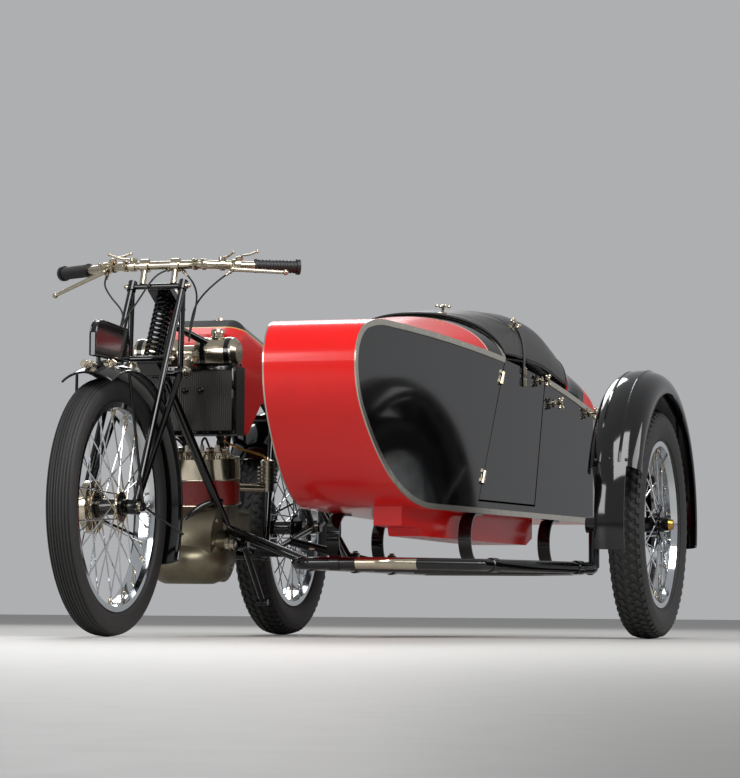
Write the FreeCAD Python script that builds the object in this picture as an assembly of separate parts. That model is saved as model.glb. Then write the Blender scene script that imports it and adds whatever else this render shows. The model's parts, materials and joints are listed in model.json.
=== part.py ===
"""Vintage motorcycle with a sidecar, as an assembly of separate pieces, in millimetres.

Everything is drawn in the machine's own frame: X forward, Y to the rider's left, where the sidecar is,
Z up, from the ground under the front axle. The last step moves all of it to the middle of its box.
"""

import FreeCAD
import Part

import math
import os

# Wheels
WHEELBASE = 1410.0
TRACK = 1216.0
SIDE_WHEEL_LEAD = 250.0
FRONT_TYRE_RADIUS = 346.5
FRONT_TYRE_WIDTH = 80.0
FRONT_RIM_RADIUS = 281.0
FRONT_RIM_WIDTH = 56.0
REAR_TYRE_RADIUS = 331.5
REAR_TYRE_WIDTH = 103.0
REAR_RIM_RADIUS = 242.5
REAR_RIM_WIDTH = 76.0
RIM_FLANGE = 11.0
RIM_SHEET = 4.0
SPOKE_COUNT = 36
SPOKE_RADIUS = 2.0
SPOKE_LEAN = 62.0
AXLE_RADIUS = 8.0
RUNNING_GAP = 0.05
REST_GAP = 0.3

# Steering and front fork
RAKE = 28.0
STEERING_OFFSET = 120.0
FORK_LENGTH = 723.0
FORK_LEG_Y = 76.0
FORK_TUBE_RADIUS = 9.5
FORK_BRIDGE_RADIUS = 8.0
FORK_SLEEVE_RADIUS = 13.0
FORK_LUG_RADIUS = 21.0
FORK_LUG_HALF = 12.0
FORK_LOW_BRIDGE_S = 470.0
FORK_KNEE_S = 490.0
FORK_KNEE_E = 104.0
HEAD_BOTTOM_S = 500.0
HEAD_TOP_S = 700.0
HEAD_RADIUS = 20.0
STEM_RADIUS = 13.0
YOKE_THICKNESS = 20.0
SPRING_OFFSET = 68.0
SPRING_RADIUS = 23.0
SPRING_WIRE = 4.0
SPRING_TURNS = 13
SPRING_STEPS = 14
BAR_RADIUS = 12.0
BAR_S = 776.0
BAR_E = -8.0
BAR_HALF = 357.0
BAR_SWEEP = 146.0
BAR_STRAIGHT = 120.0
THUMB_LEVERS = ((-82.0, -66.0), (172.0, 40.0))
THUMB_WIRE = 3.5
GRIP_LENGTH = 125.0
GRIP_RADIUS = 17.0

# Front mudguard and its number plate
GUARD_SHEET = 3.0
FRONT_GUARD_RADIUS = 388.0
FRONT_GUARD_DROP = 26.0
FRONT_GUARD_HALF = 70.0
FRONT_GUARD_START = 64.0
FRONT_GUARD_END = 202.0
PLATE_FRONT_X = 122.0
PLATE_LENGTH = 235.0
PLATE_BOTTOM = 745.0
PLATE_HEIGHT = 95.0
PLATE_THICKNESS = 18.0

# Frame
FRAME_TUBE_RADIUS = 13.0
STAY_RADIUS = 10.0
CRADLE_X = -703.0
CRADLE_Y = 100.0
CRADLE_Z = 264.0
BASE_RAIL_Z = 236.0
SEAT_LUG_X = -1120.0
SEAT_LUG_Z = 650.0
SIDE_TUBE_Y = 118.0

# Prop stand
STAND_OUT = 30.0
STAND_LENGTH = 235.0
STAND_REST = 45.0
STAND_PIN_RADIUS = 6.0

# Engine and what stands on it
ENGINE_LEAN = 8.0
CRANK_X = -650.0
CRANK_Z = 262.0
CRANK_RADIUS = 108.0
CRANK_HALF = 88.0
BLOCK_DEPTH = 134.0
BLOCK_BACK = 60.0
BLOCK_HALF = 113.0
BLOCK_BOTTOM = 108.0
BLOCK_TOP = 186.0
BLOCK_CORNER = 54.0
BLOCK_SHEET = 3.0
HEAD_CAP_HEIGHT = 58.0
PLUG_RADIUS = 10.0
BOX_SIDES = 12
# Height, front, rear and half width of each ring of the exhaust box
BOX_RINGS = [(148.0, -555.0, -665.0, 70.0), (164.0, -525.0, -695.0, 100.0), (196.0, -505.0, -715.0, 115.0),
             (229.0, -508.0, -715.0, 112.0), (262.0, -552.0, -720.0, 98.0), (300.0, -592.0, -724.0, 84.0),
             (358.0, -605.0, -725.0, 82.0)]

# Radiator, header tank and fuel tank
RADIATOR_X = -545.0
RADIATOR_DEPTH = 70.0
RADIATOR_HALF = 160.0
RADIATOR_BOTTOM = 570.0
RADIATOR_TOP = 765.0
HEADER_RADIUS = 44.0
HEADER_HALF = 158.0
HEADER_DRUM = 121.0
HEADER_NECK_RADIUS = 24.0
TANK_FRONT_X = -640.0
TANK_REAR_X = -1090.0
TANK_TOP = 915.0
TANK_BOTTOM = 700.0
TANK_HALF = 120.0
TANK_CORNER = 46.0

# Sidecar body
BODY_MID_Y = 555.0
BODY_NOSE_X = -22.0
BODY_NOSE_Z = 730.0
BODY_NOSE_HALF = 126.3
BODY_FLARE = 0.105
BODY_WIDE_X = -1880.0
BODY_TAIL_X = -2000.0
BODY_TAIL_HALF = 300.0
BODY_TOP_ARCS = [(114.0, 75.0), (441.0, 15.0), (12300.0, 4.2), (5400.0, 11.1)]
BODY_UNDER_ARCS = [(205.0, -38.2), (705.0, -15.7), (586.0, -36.1)]
BODY_ROOM = 420.0
BODY_LOW = 150.0
BODY_HEIGHT = 900.0
BODY_WALL = 18.0
BODY_SHEET = 12.0
DECK_FRONT_X = -300.0
COCKPIT_FRONT_X = -960.0
COCKPIT_REAR_X = -1640.0
COAMING_CROWN_X = -930.0
COAMING_CROWN_Z = 940.0
COAMING_SLOPE = 1.42
COAMING_WIDTH = 13.0
COAMING_PROUD = 3.0
COAMING_ACROSS = math.sqrt(1.0 + COAMING_SLOPE ** 2)
DECK_SHEET = 8.0
DECK_STEPS = 12
COVER_SHEET = 5.0
COVER_LIFT = 7.3
# Place along the body, rise, fullness and steepness of each section
SCUTTLE_STATIONS = [(DECK_FRONT_X - REST_GAP, 1.0, 2.0, 1.0), (-620.0, 44.0, 2.1, 0.8), (-960.0, 104.0, 2.4, 0.52),
                    (-1180.0, 124.0, 2.8, 0.45)]
COVER_STATIONS = [(-870.0, 96.0, 2.3, 0.55), (-1000.0, 112.0, 2.5, 0.5), (-1240.0, 161.0, 3.0, 0.33),
                  (-1440.0, 181.0, 3.4, 0.3), (-1560.0, 162.0, 3.2, 0.32), (-1635.0, 132.0, 3.2, 0.32)]
TAIL_STATIONS = [(-1640.0, 126.0, 3.2, 0.32), (-1760.0, 118.0, 3.0, 0.34), (-1880.0, 100.0, 2.8, 0.38),
                 (-1960.0, 66.0, 2.6, 0.42), (-1996.0, 12.0, 2.4, 0.5)]
BEADING_WIDTH = 16.0
BEADING_PROUD = 4.0
DOOR_GAP = 6.0
DOOR_BOTTOM_Z = 392.0
DOOR_FRONT_X = -903.6
DOOR_FRONT_LEAN = 0.48
DOOR_REAR_X = -1362.5
DOOR_REAR_LEAN = 0.223
DOOR_TOP_Z = 830.0
HINGE_PIN_RADIUS = 3.0
HINGE_BARREL_RADIUS = 6.0
HINGE_LEAF = 16.0
HINGE_KNUCKLE = 20.0
HINGE_INSET = 70.0

# Sidecar chassis
CHASSIS_RADIUS = 17.0
CHASSIS_Z = 205.0
INNER_RAIL_Y = 372.0
SIDE_BRACKET_INSET = 150.0
SIDE_AXLE_BRACKET_Y = TRACK - SIDE_BRACKET_INSET
STRAP_WIDTH = 38.0
STRAP_SHEET = 6.0
STRAP_FOOT = 52.0
STRAP_PLACES = (-900.0, -1540.0)
STRAP_INSET = 20.0

# Side mudguard
SIDE_GUARD_RADIUS = 449.0
SIDE_GUARD_DROP = 66.0
SIDE_GUARD_HALF = 76.0
SIDE_GUARD_INBOARD = 14.0
SIDE_GUARD_SHOULDER = 0.56
SHOULDER_FALL = 0.28
SIDE_GUARD_START = 20.0
SIDE_GUARD_END = 188.0
SIDE_FLAP_END = -10.5
SIDE_RIBS = (-33.0, 22.0)
RIB_HALF = 6.0
RIB_HEIGHT = 3.5
RIB_INSET = 1.5


def vec(x, y, z):
    """A point or direction in the machine's frame."""
    return FreeCAD.Vector(x, y, z)


def sin_deg(angle):
    """Sine of an angle in degrees."""
    return math.sin(math.radians(angle))


def cos_deg(angle):
    """Cosine of an angle in degrees."""
    return math.cos(math.radians(angle))


def rod(start, end, radius):
    """A round bar from one point to another."""
    line = end - start
    return Part.makeCylinder(radius, line.Length, start, line)


def collar(start, end, radius, bore):
    """A round bar with a hole along its axis."""
    return rod(start, end, radius).cut(rod(start, end, bore))


def pipe(points, radius, bend):
    """A bent bar: straight runs between the points, joined by tangent arcs of the bend radius."""
    edges = []
    last = points[0]
    for before, corner, after in zip(points, points[1:], points[2:]):
        come = (corner - before).normalize()
        leave = (after - corner).normalize()
        half_turn = come.getAngle(leave) / 2.0
        reach = bend * math.tan(half_turn)
        arc_start = corner - come * reach
        arc_end = corner + leave * reach
        middle = leave - come
        middle.normalize()
        arc_middle = corner + middle * (bend / math.cos(half_turn) - bend)
        edges.append(Part.LineSegment(last, arc_start).toShape())
        edges.append(Part.Arc(arc_start, arc_middle, arc_end).toShape())
        last = arc_end
    edges.append(Part.LineSegment(last, points[-1]).toShape())
    path = Part.Wire(edges)
    ring = Part.Wire([Part.makeCircle(radius, points[0], points[1] - points[0])])
    return path.makePipeShell([ring], True, False)


def joined(shapes):
    """One solid from shapes that meet."""
    first, rest = shapes[0], list(shapes[1:])
    return first.multiFuse(rest) if rest else first


def ball(centre, radius):
    """A ball."""
    return Part.makeSphere(radius, centre)


def polygon_face(points):
    """A flat face from its corners."""
    return Part.Face(Part.makePolygon(list(points) + [points[0]]))


def walk(start, heading, steps, inset):
    """Edges of an outline in X and Z, walked from a start point; arcs turn left and shrink by the inset."""
    x, z = start
    angle = heading
    edges = []
    for step in steps:
        if len(step) == 1:
            end = (x + step[0] * cos_deg(angle), z + step[0] * sin_deg(angle))
            edges.append(Part.LineSegment(vec(x, 0, z), vec(end[0], 0, end[1])).toShape())
        else:
            radius, turn = step
            side = 1.0 if turn > 0 else -1.0
            radius -= inset
            centre = (x - side * radius * sin_deg(angle), z + side * radius * cos_deg(angle))
            half = angle + turn / 2.0
            middle = (centre[0] + side * radius * sin_deg(half), centre[1] - side * radius * cos_deg(half))
            angle += turn
            end = (centre[0] + side * radius * sin_deg(angle), centre[1] - side * radius * cos_deg(angle))
            edges.append(Part.Arc(vec(x, 0, z), vec(middle[0], 0, middle[1]), vec(end[0], 0, end[1])).toShape())
        x, z = end
    return edges, (x, z)


# Steering geometry

def fork(s, e, y):
    """A point at s along the fork from the front axle, e behind the line of its front tubes."""
    x = -s * sin_deg(RAKE) - e * cos_deg(RAKE)
    z = FRONT_TYRE_RADIUS + s * cos_deg(RAKE) - e * sin_deg(RAKE)
    return vec(x, y, z)


def fork_plate(e_low, e_high, half_width, s_low, thickness):
    """A flat bridge square to the fork, between two distances behind the front tubes."""
    corners = [(e_low, -half_width), (e_high, -half_width), (e_high, half_width), (e_low, half_width)]
    face = polygon_face([fork(s_low, e, y) for e, y in corners])
    return face.extrude(fork(s_low + thickness, 0, 0) - fork(s_low, 0, 0))


# Wheels

def revolved(points, centre):
    """A ring round a wheel's axle from an outline of places across the wheel and radii."""
    outline = [vec(centre.x, centre.y + across, centre.z + radius) for across, radius in points]
    return polygon_face(outline).revolve(centre, vec(0, 1, 0), 360)


def tyre(centre, radius, width, rim_radius, rim_width):
    """A round-shouldered tyre seated in its rim, its section drawn in a few straight steps."""
    half = width / 2.0
    seat = rim_width / 2.0 - RIM_SHEET
    bead = rim_radius - RIM_FLANGE
    wall_radius = (radius + rim_radius) / 2.0
    shoulder = radius - half * 0.28
    right = [(seat, bead), (seat, rim_radius), (half, wall_radius), (half * 0.86, shoulder)]
    left = [(-across, height) for across, height in reversed(right)]
    return revolved(right + [(half * 0.4, radius), (-half * 0.4, radius)] + left, centre)


def spoke(start, end):
    """A spoke as a slim six-sided bar."""
    line = end - start
    ring = Part.makeCircle(SPOKE_RADIUS, start, line)
    corners = ring.discretize(7)
    return Part.Face(Part.makePolygon(corners)).extrude(line)


def wire_wheel(centre, rim_radius, rim_width, hub_half, hub_profile):
    """Rim, crossed spokes and hub, laced alternately to the two hub flanges."""
    half = rim_width / 2.0
    bead = rim_radius - RIM_FLANGE
    well = bead - RIM_SHEET - 5.0
    rim = revolved([(-half, rim_radius), (-half + RIM_SHEET, rim_radius), (-half + RIM_SHEET, bead),
                    (half - RIM_SHEET, bead), (half - RIM_SHEET, rim_radius), (half, rim_radius),
                    (half, bead - RIM_SHEET), (half * 0.5, well), (-half * 0.5, well),
                    (-half, bead - RIM_SHEET)], centre)
    hub = revolved(hub_profile, centre)
    flange_radius = 34.0
    flange_y = hub_half * 0.62
    pieces = [hub]
    for index in range(SPOKE_COUNT):
        side = 1.0 if index % 2 else -1.0
        lean = SPOKE_LEAN if index % 4 < 2 else -SPOKE_LEAN
        rim_angle = 360.0 * index / SPOKE_COUNT
        hub_angle = rim_angle + lean
        start = centre + vec(flange_radius * cos_deg(hub_angle), side * flange_y,
                             flange_radius * sin_deg(hub_angle))
        reach = well + 3.0
        end = centre + vec(reach * cos_deg(rim_angle), side * half * 0.18, reach * sin_deg(rim_angle))
        pieces.append(spoke(start, end))
    return rim.multiFuse(pieces)


def hub_outline(half, drum_side, drum_radius):
    """Places across and radii of a hub with two flanges and a brake drum on one side."""
    bore = AXLE_RADIUS + RUNNING_GAP
    flange = half * 0.62
    points = [(-half, bore), (-half, 20.0), (-flange - 3.0, 22.0), (-flange - 3.0, 40.0),
              (-flange + 3.0, 40.0), (-flange + 3.0, 22.0), (flange - 3.0, 22.0), (flange - 3.0, 40.0),
              (flange + 3.0, 40.0), (flange + 3.0, 22.0), (half, 20.0), (half, bore)]
    if drum_radius:
        points[1:3] = [(-half, drum_radius), (-flange - 3.0, drum_radius)]
    if drum_side > 0:
        points = [(-across, radius) for across, radius in points]
    return points


def front_wheel():
    """Front tyre, wire wheel and the fixed axle that carries them."""
    centre = vec(0, 0, FRONT_TYRE_RADIUS)
    hub_half = 58.0
    hub = hub_outline(hub_half, -1, 72.0)
    axle_end = vec(0, FORK_LEG_Y + 22.0, 0)
    axle = rod(centre - axle_end, centre + axle_end, AXLE_RADIUS)
    nuts = [rod(centre + vec(0, side * (FORK_LEG_Y + FORK_LUG_HALF + REST_GAP), 0),
                centre + vec(0, side * (FORK_LEG_Y + 20.5), 0), 15.0)
            for side in (-1.0, 1.0)]
    return {
        "front_tyre": tyre(centre, FRONT_TYRE_RADIUS, FRONT_TYRE_WIDTH, FRONT_RIM_RADIUS, FRONT_RIM_WIDTH),
        "front_wire_wheel": wire_wheel(centre, FRONT_RIM_RADIUS, FRONT_RIM_WIDTH, hub_half, hub),
        "front_axle": joined([axle] + nuts),
    }


def rear_wheel():
    """Rear tyre, wire wheel with drum and the fixed axle."""
    centre = vec(-WHEELBASE, 0, REAR_TYRE_RADIUS)
    hub_half = 70.0
    hub = hub_outline(hub_half, -1, 88.0)
    reach = vec(0, CRADLE_Y + 24.0, 0)
    axle = rod(centre - reach, centre + reach, AXLE_RADIUS)
    nuts = [rod(centre + vec(0, side * (CRADLE_Y + 11.0), 0), centre + vec(0, side * (CRADLE_Y + 20.0), 0), 16.0)
            for side in (-1.0, 1.0)]
    return {
        "rear_tyre": tyre(centre, REAR_TYRE_RADIUS, REAR_TYRE_WIDTH, REAR_RIM_RADIUS, REAR_RIM_WIDTH),
        "rear_wire_wheel": wire_wheel(centre, REAR_RIM_RADIUS, REAR_RIM_WIDTH, hub_half, hub),
        "rear_axle": joined([axle] + nuts),
    }


def side_centre():
    """Centre of the side wheel."""
    return vec(-WHEELBASE + SIDE_WHEEL_LEAD, TRACK, REAR_TYRE_RADIUS)


def side_wheel():
    """Side tyre, wire wheel, its hub cap and the stub axle."""
    centre = side_centre()
    hub_half = 62.0
    hub = hub_outline(hub_half, -1, 88.0)
    axle = rod(vec(centre.x, SIDE_AXLE_BRACKET_Y, centre.z), centre + vec(0, hub_half, 0), AXLE_RADIUS)
    flange = rod(vec(centre.x, SIDE_AXLE_BRACKET_Y + 14.0, centre.z),
                 centre - vec(0, hub_half + 6.0, 0), 24.0)
    cap = revolved([(hub_half + REST_GAP, AXLE_RADIUS + 1.0), (hub_half + REST_GAP, 17.0), (hub_half + 12.0, 14.0),
                    (hub_half + 14.0, 0.0), (hub_half + 3.0, 0.0), (hub_half + 3.0, AXLE_RADIUS + 1.0)], centre)
    return {
        "side_tyre": tyre(centre, REAR_TYRE_RADIUS, REAR_TYRE_WIDTH, REAR_RIM_RADIUS, REAR_RIM_WIDTH),
        "side_wire_wheel": wire_wheel(centre, REAR_RIM_RADIUS, REAR_RIM_WIDTH, hub_half, hub),
        "side_axle": joined([axle, flange]),
        "hub_cap": cap,
    }


# Front fork and handlebar

def fork_girder():
    """Two side trusses of slim tubes, one bridge low down and lugs at the axle."""
    parts = []
    sleeve = vec(0, FORK_SLEEVE_RADIUS, 0)
    for side in (-1.0, 1.0):
        y = side * FORK_LEG_Y
        parts.append(rod(fork(0, 0, y), fork(FORK_LENGTH, 0, y), FORK_TUBE_RADIUS))
        parts.append(rod(fork(FORK_LENGTH - 12, 0, y), fork(FORK_KNEE_S, FORK_KNEE_E, y), FORK_TUBE_RADIUS - 1.0))
        parts.append(rod(fork(FORK_KNEE_S, FORK_KNEE_E, y), fork(8, 6, y), FORK_TUBE_RADIUS - 0.5))
        knee = fork(FORK_KNEE_S, FORK_KNEE_E, y)
        parts.append(rod(knee - sleeve, knee + sleeve, 15.0))
        parts.append(rod(fork(FORK_LENGTH - 26, 0, y), fork(FORK_LENGTH + 3, 0, y), FORK_SLEEVE_RADIUS))
        lug = vec(0, FORK_LUG_HALF, 0)
        parts.append(rod(fork(0, 0, y) - lug, fork(0, 0, y) + lug, FORK_LUG_RADIUS))
    for s in (FORK_LOW_BRIDGE_S, FORK_LENGTH - 12.0):
        reach = FORK_LEG_Y - 3.0
        parts.append(rod(fork(s, 0, -reach), fork(s, 0, reach), FORK_BRIDGE_RADIUS))
    girder = joined(parts)
    hole = rod(fork(0, 0, -FORK_LEG_Y - 20), fork(0, 0, FORK_LEG_Y + 20), AXLE_RADIUS)
    return girder.cut(hole)


def steering_yokes():
    """Stem through the head tube, with the upper and lower yokes and the spring's seats."""
    half = FORK_LEG_Y - FORK_TUBE_RADIUS - 1.0
    stem = rod(fork(HEAD_BOTTOM_S - 24, STEERING_OFFSET, 0), fork(HEAD_TOP_S + 44, STEERING_OFFSET, 0), STEM_RADIUS)
    lower = fork_plate(40, STEERING_OFFSET + 22, 30, HEAD_BOTTOM_S - 22, YOKE_THICKNESS)
    upper = fork_plate(16, STEERING_OFFSET + 22, 34, HEAD_TOP_S + 8, YOKE_THICKNESS)
    spindle_low = rod(fork(FORK_KNEE_S - 4, FORK_KNEE_E - 2, -half), fork(FORK_KNEE_S - 4, FORK_KNEE_E - 2, half), 9.0)
    top_nut = rod(fork(HEAD_TOP_S + 28, STEERING_OFFSET, 0), fork(HEAD_TOP_S + 50, STEERING_OFFSET, 0), 19.0)
    return joined([stem, lower, upper, spindle_low, top_nut])


def fork_spring():
    """Main coil spring between the two yokes, in front of the head tube, from hexagons set along a helix."""
    low = HEAD_BOTTOM_S - 22 + YOKE_THICKNESS + SPRING_WIRE
    high = HEAD_TOP_S + 8 - SPRING_WIRE
    length = high - low
    steps = SPRING_TURNS * SPRING_STEPS
    rings = []
    for step in range(steps + 1):
        turn = 360.0 * step / SPRING_STEPS
        corners = []
        for corner in range(7):
            out = SPRING_RADIUS + SPRING_WIRE * cos_deg(60 * corner)
            up = length * step / steps + SPRING_WIRE * sin_deg(60 * corner)
            corners.append(vec(out * cos_deg(turn), out * sin_deg(turn), up))
        rings.append(Part.makePolygon(corners))
    coil = Part.makeLoft(rings, True, True)
    coil.rotate(vec(0, 0, 0), vec(0, 1, 0), -RAKE)
    coil.translate(fork(low, SPRING_OFFSET, 0))
    return coil


def bar_point(y):
    """A point on the handlebar: straight in the middle, swept back towards the grips."""
    middle = fork(BAR_S, BAR_E, 0)
    reach = max(abs(y) - BAR_STRAIGHT, 0.0) / (BAR_HALF - BAR_STRAIGHT)
    return vec(middle.x - BAR_SWEEP * reach, y, middle.z + 2.0 * reach)


def handlebar():
    """The bar itself, bent from one tube."""
    points = [bar_point(y) for y in (-BAR_HALF, -BAR_STRAIGHT, BAR_STRAIGHT, BAR_HALF)]
    return pipe(points, BAR_RADIUS, BAR_STRAIGHT)


def bar_clamps():
    """Two posts from the top bridge that hold the bar."""
    parts = []
    for side in (-1.0, 1.0):
        y = side * 46.0
        parts.append(rod(fork(FORK_LENGTH - 12 + FORK_BRIDGE_RADIUS - 1.0, 0, y), fork(BAR_S - BAR_RADIUS - 4, BAR_E + 2, y), 9.0))
        parts.append(collar(fork(BAR_S, BAR_E, y - 11), fork(BAR_S, BAR_E, y + 11), BAR_RADIUS + 7.0, BAR_RADIUS))
    return Part.makeCompound([joined(parts[0:2]), joined(parts[2:4])])


def grips():
    """Rubber sleeves with an end flange on each side."""
    sleeves = []
    for side in (-1.0, 1.0):
        end = bar_point(side * BAR_HALF)
        inner = bar_point(side * (BAR_HALF - 20.0))
        line = (inner - end).normalize()
        sleeve = rod(end, end + line * GRIP_LENGTH, GRIP_RADIUS)
        flange = rod(end - line * 4.0, end + line * 6.0, GRIP_RADIUS + 5.0)
        lip = rod(end + line * (GRIP_LENGTH - 6.0), end + line * GRIP_LENGTH, GRIP_RADIUS + 3.0)
        hole = rod(end, end + line * (GRIP_LENGTH + 5.0), BAR_RADIUS)
        sleeves.append(joined([sleeve, flange, lip]).cut(hole))
    return Part.makeCompound(sleeves)


def control_levers():
    """Brake and clutch levers with their perches, and a curled thumb lever on each side of the middle."""
    levers = []
    for side, root_y, tip in ((-1.0, 175.0, vec(-400, -338, 963)), (1.0, 205.0, vec(-418, 350, 1013))):
        y = side * root_y
        here = bar_point(y)
        along = (bar_point(y + side * 12.0) - bar_point(y - side * 12.0)).normalize()
        perch = collar(here - along * 11.0, here + along * 11.0, BAR_RADIUS + 5.0, BAR_RADIUS)
        pivot = here + vec(26, 0, -14)
        arm = rod(here + vec(14, 0, -8), pivot, 6.0)
        blade = Part.makeCone(6.5, 5.0, (tip - pivot).Length, pivot, tip - pivot)
        levers.append(joined([perch, arm, ball(pivot, 8.0), blade, ball(tip, 8.0)]))
    for y, reach in THUMB_LEVERS:
        here = bar_point(y)
        along = (bar_point(y + 6.0) - bar_point(y - 6.0)).normalize()
        clip = collar(here - along * 7.0, here + along * 7.0, BAR_RADIUS + 4.0, BAR_RADIUS)
        post = rod(here + vec(0, 0, BAR_RADIUS + 2.0), here + vec(0, 0, BAR_RADIUS + 10.0), 11.0)
        root = here + vec(0, 0, BAR_RADIUS + 7.0)
        tip = root + vec(20, reach, 13)
        curl = pipe([root, root + vec(15, reach * 0.55, 2), tip], THUMB_WIRE, 22.0)
        levers.append(joined([clip, post, curl, ball(tip, THUMB_WIRE + 1.0)]))
    return Part.makeCompound(levers)


def guard_sheet(centre, radius, drop, half, start, end, shoulder=0.0):
    """A mudguard sheet swept round a wheel from one angle to another, crowned or with round shoulders.

    The shoulder is the share of the half width at which a flat crown turns down; none gives one plain arc.
    """
    def section(shrink):
        low = vec(0, half - shrink, radius - drop)
        high = vec(0, 0, radius - shrink)
        if not shoulder:
            return [Part.Arc(vec(0, -low.y, low.z), high, low).toShape()], low
        turn = vec(0, shoulder * low.y, radius - shrink - drop * (1.0 - shoulder) * SHOULDER_FALL)
        bulge = vec(0, low.y - (low.y - turn.y) * 0.24, low.z + (turn.z - low.z) * 0.68)
        return [Part.Arc(vec(0, -low.y, low.z), vec(0, -bulge.y, bulge.z), vec(0, -turn.y, turn.z)).toShape(),
                Part.Arc(vec(0, -turn.y, turn.z), high, turn).toShape(),
                Part.Arc(turn, bulge, low).toShape()], low

    outer, foot = section(0.0)
    inner, inner_foot = section(GUARD_SHEET)
    if not shoulder:
        inner_foot = vec(0, half, radius - drop - GUARD_SHEET)
        inner = [Part.Arc(vec(0, -half, inner_foot.z), vec(0, 0, radius - GUARD_SHEET), inner_foot).toShape()]
    edges = outer + inner
    for side in (-1.0, 1.0):
        edges.append(Part.LineSegment(vec(0, side * foot.y, foot.z), vec(0, side * inner_foot.y, inner_foot.z)).toShape())
    face = Part.Face(Part.Wire(Part.__sortEdges__(edges)))
    face.rotate(vec(0, 0, 0), vec(0, 1, 0), 90.0 - start)
    sheet = face.revolve(vec(0, 0, 0), vec(0, 1, 0), start - end)
    sheet.translate(centre)
    return sheet


def front_mudguard():
    """Front mudguard, cut clear of the fork's tubes."""
    centre = vec(0, 0, FRONT_TYRE_RADIUS)
    sheet = guard_sheet(centre, FRONT_GUARD_RADIUS, FRONT_GUARD_DROP, FRONT_GUARD_HALF,
                        FRONT_GUARD_START, FRONT_GUARD_END)
    for side in (-1.0, 1.0):
        y = side * FORK_LEG_Y
        room = FORK_TUBE_RADIUS + 3.0
        sheet = sheet.cut(rod(fork(200, 0, y), fork(FORK_LENGTH, 0, y), room))
        sheet = sheet.cut(rod(fork(100, 10, y), fork(FORK_KNEE_S, FORK_KNEE_E, y), room))
    return sheet


def front_guard_stays():
    """Stays of the front mudguard, each pair with its own eyes on the axle."""
    centre = vec(0, 0, FRONT_TYRE_RADIUS)
    edge = FRONT_GUARD_RADIUS - FRONT_GUARD_DROP
    pieces = []
    for side in (-1.0, 1.0):
        eye_in = vec(0, side * (FORK_LEG_Y + 21.0), 0)
        eye_out = vec(0, side * (FORK_LEG_Y + 27.0), 0)
        eye = rod(centre + eye_in, centre + eye_out, 12.0)
        rods = [eye]
        for angle in (82.0, 190.0):
            tip = centre + vec(edge * cos_deg(angle), side * (FRONT_GUARD_HALF + 5.0), edge * sin_deg(angle))
            rods.append(rod(centre + (eye_in + eye_out) * 0.5, tip, 4.0))
        pieces.append(joined(rods))
    return Part.makeCompound(pieces)


def number_plate():
    """Plain plate along the crown of the front mudguard, with a rounded upper front corner."""
    rear = PLATE_FRONT_X - PLATE_LENGTH
    top = PLATE_BOTTOM + PLATE_HEIGHT
    corner = 45.0
    y = -PLATE_THICKNESS / 2.0
    bow = corner * (1.0 - cos_deg(45.0))
    edges = [
        Part.LineSegment(vec(rear, y, PLATE_BOTTOM), vec(PLATE_FRONT_X, y, PLATE_BOTTOM)).toShape(),
        Part.LineSegment(vec(PLATE_FRONT_X, y, PLATE_BOTTOM), vec(PLATE_FRONT_X, y, top - corner)).toShape(),
        Part.Arc(vec(PLATE_FRONT_X, y, top - corner), vec(PLATE_FRONT_X - bow, y, top - bow),
                 vec(PLATE_FRONT_X - corner, y, top)).toShape(),
        Part.LineSegment(vec(PLATE_FRONT_X - corner, y, top), vec(rear + 8, y, top - 8)).toShape(),
        Part.LineSegment(vec(rear + 8, y, top - 8), vec(rear, y, PLATE_BOTTOM)).toShape(),
    ]
    plate = Part.Face(Part.Wire(edges)).extrude(vec(0, PLATE_THICKNESS, 0))
    feet = []
    for x in (PLATE_FRONT_X - 40.0, rear + 35.0):
        crown = FRONT_TYRE_RADIUS + math.sqrt((FRONT_GUARD_RADIUS + REST_GAP) ** 2 - x * x)
        feet.append(rod(vec(x, 0, crown), vec(x, 0, PLATE_BOTTOM + 5), 6.0))
    return joined([plate] + feet)


def steering_parts():
    """Everything that turns with the handlebar."""
    return {
        "fork_girder": fork_girder(),
        "steering_yokes": steering_yokes(),
        "fork_spring": fork_spring(),
        "handlebar": handlebar(),
        "bar_clamps": bar_clamps(),
        "grips": grips(),
        "control_levers": control_levers(),
        "front_mudguard": front_mudguard(),
        "front_guard_stays": front_guard_stays(),
        "number_plate": number_plate(),
    }


# Frame, engine and tanks

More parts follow.
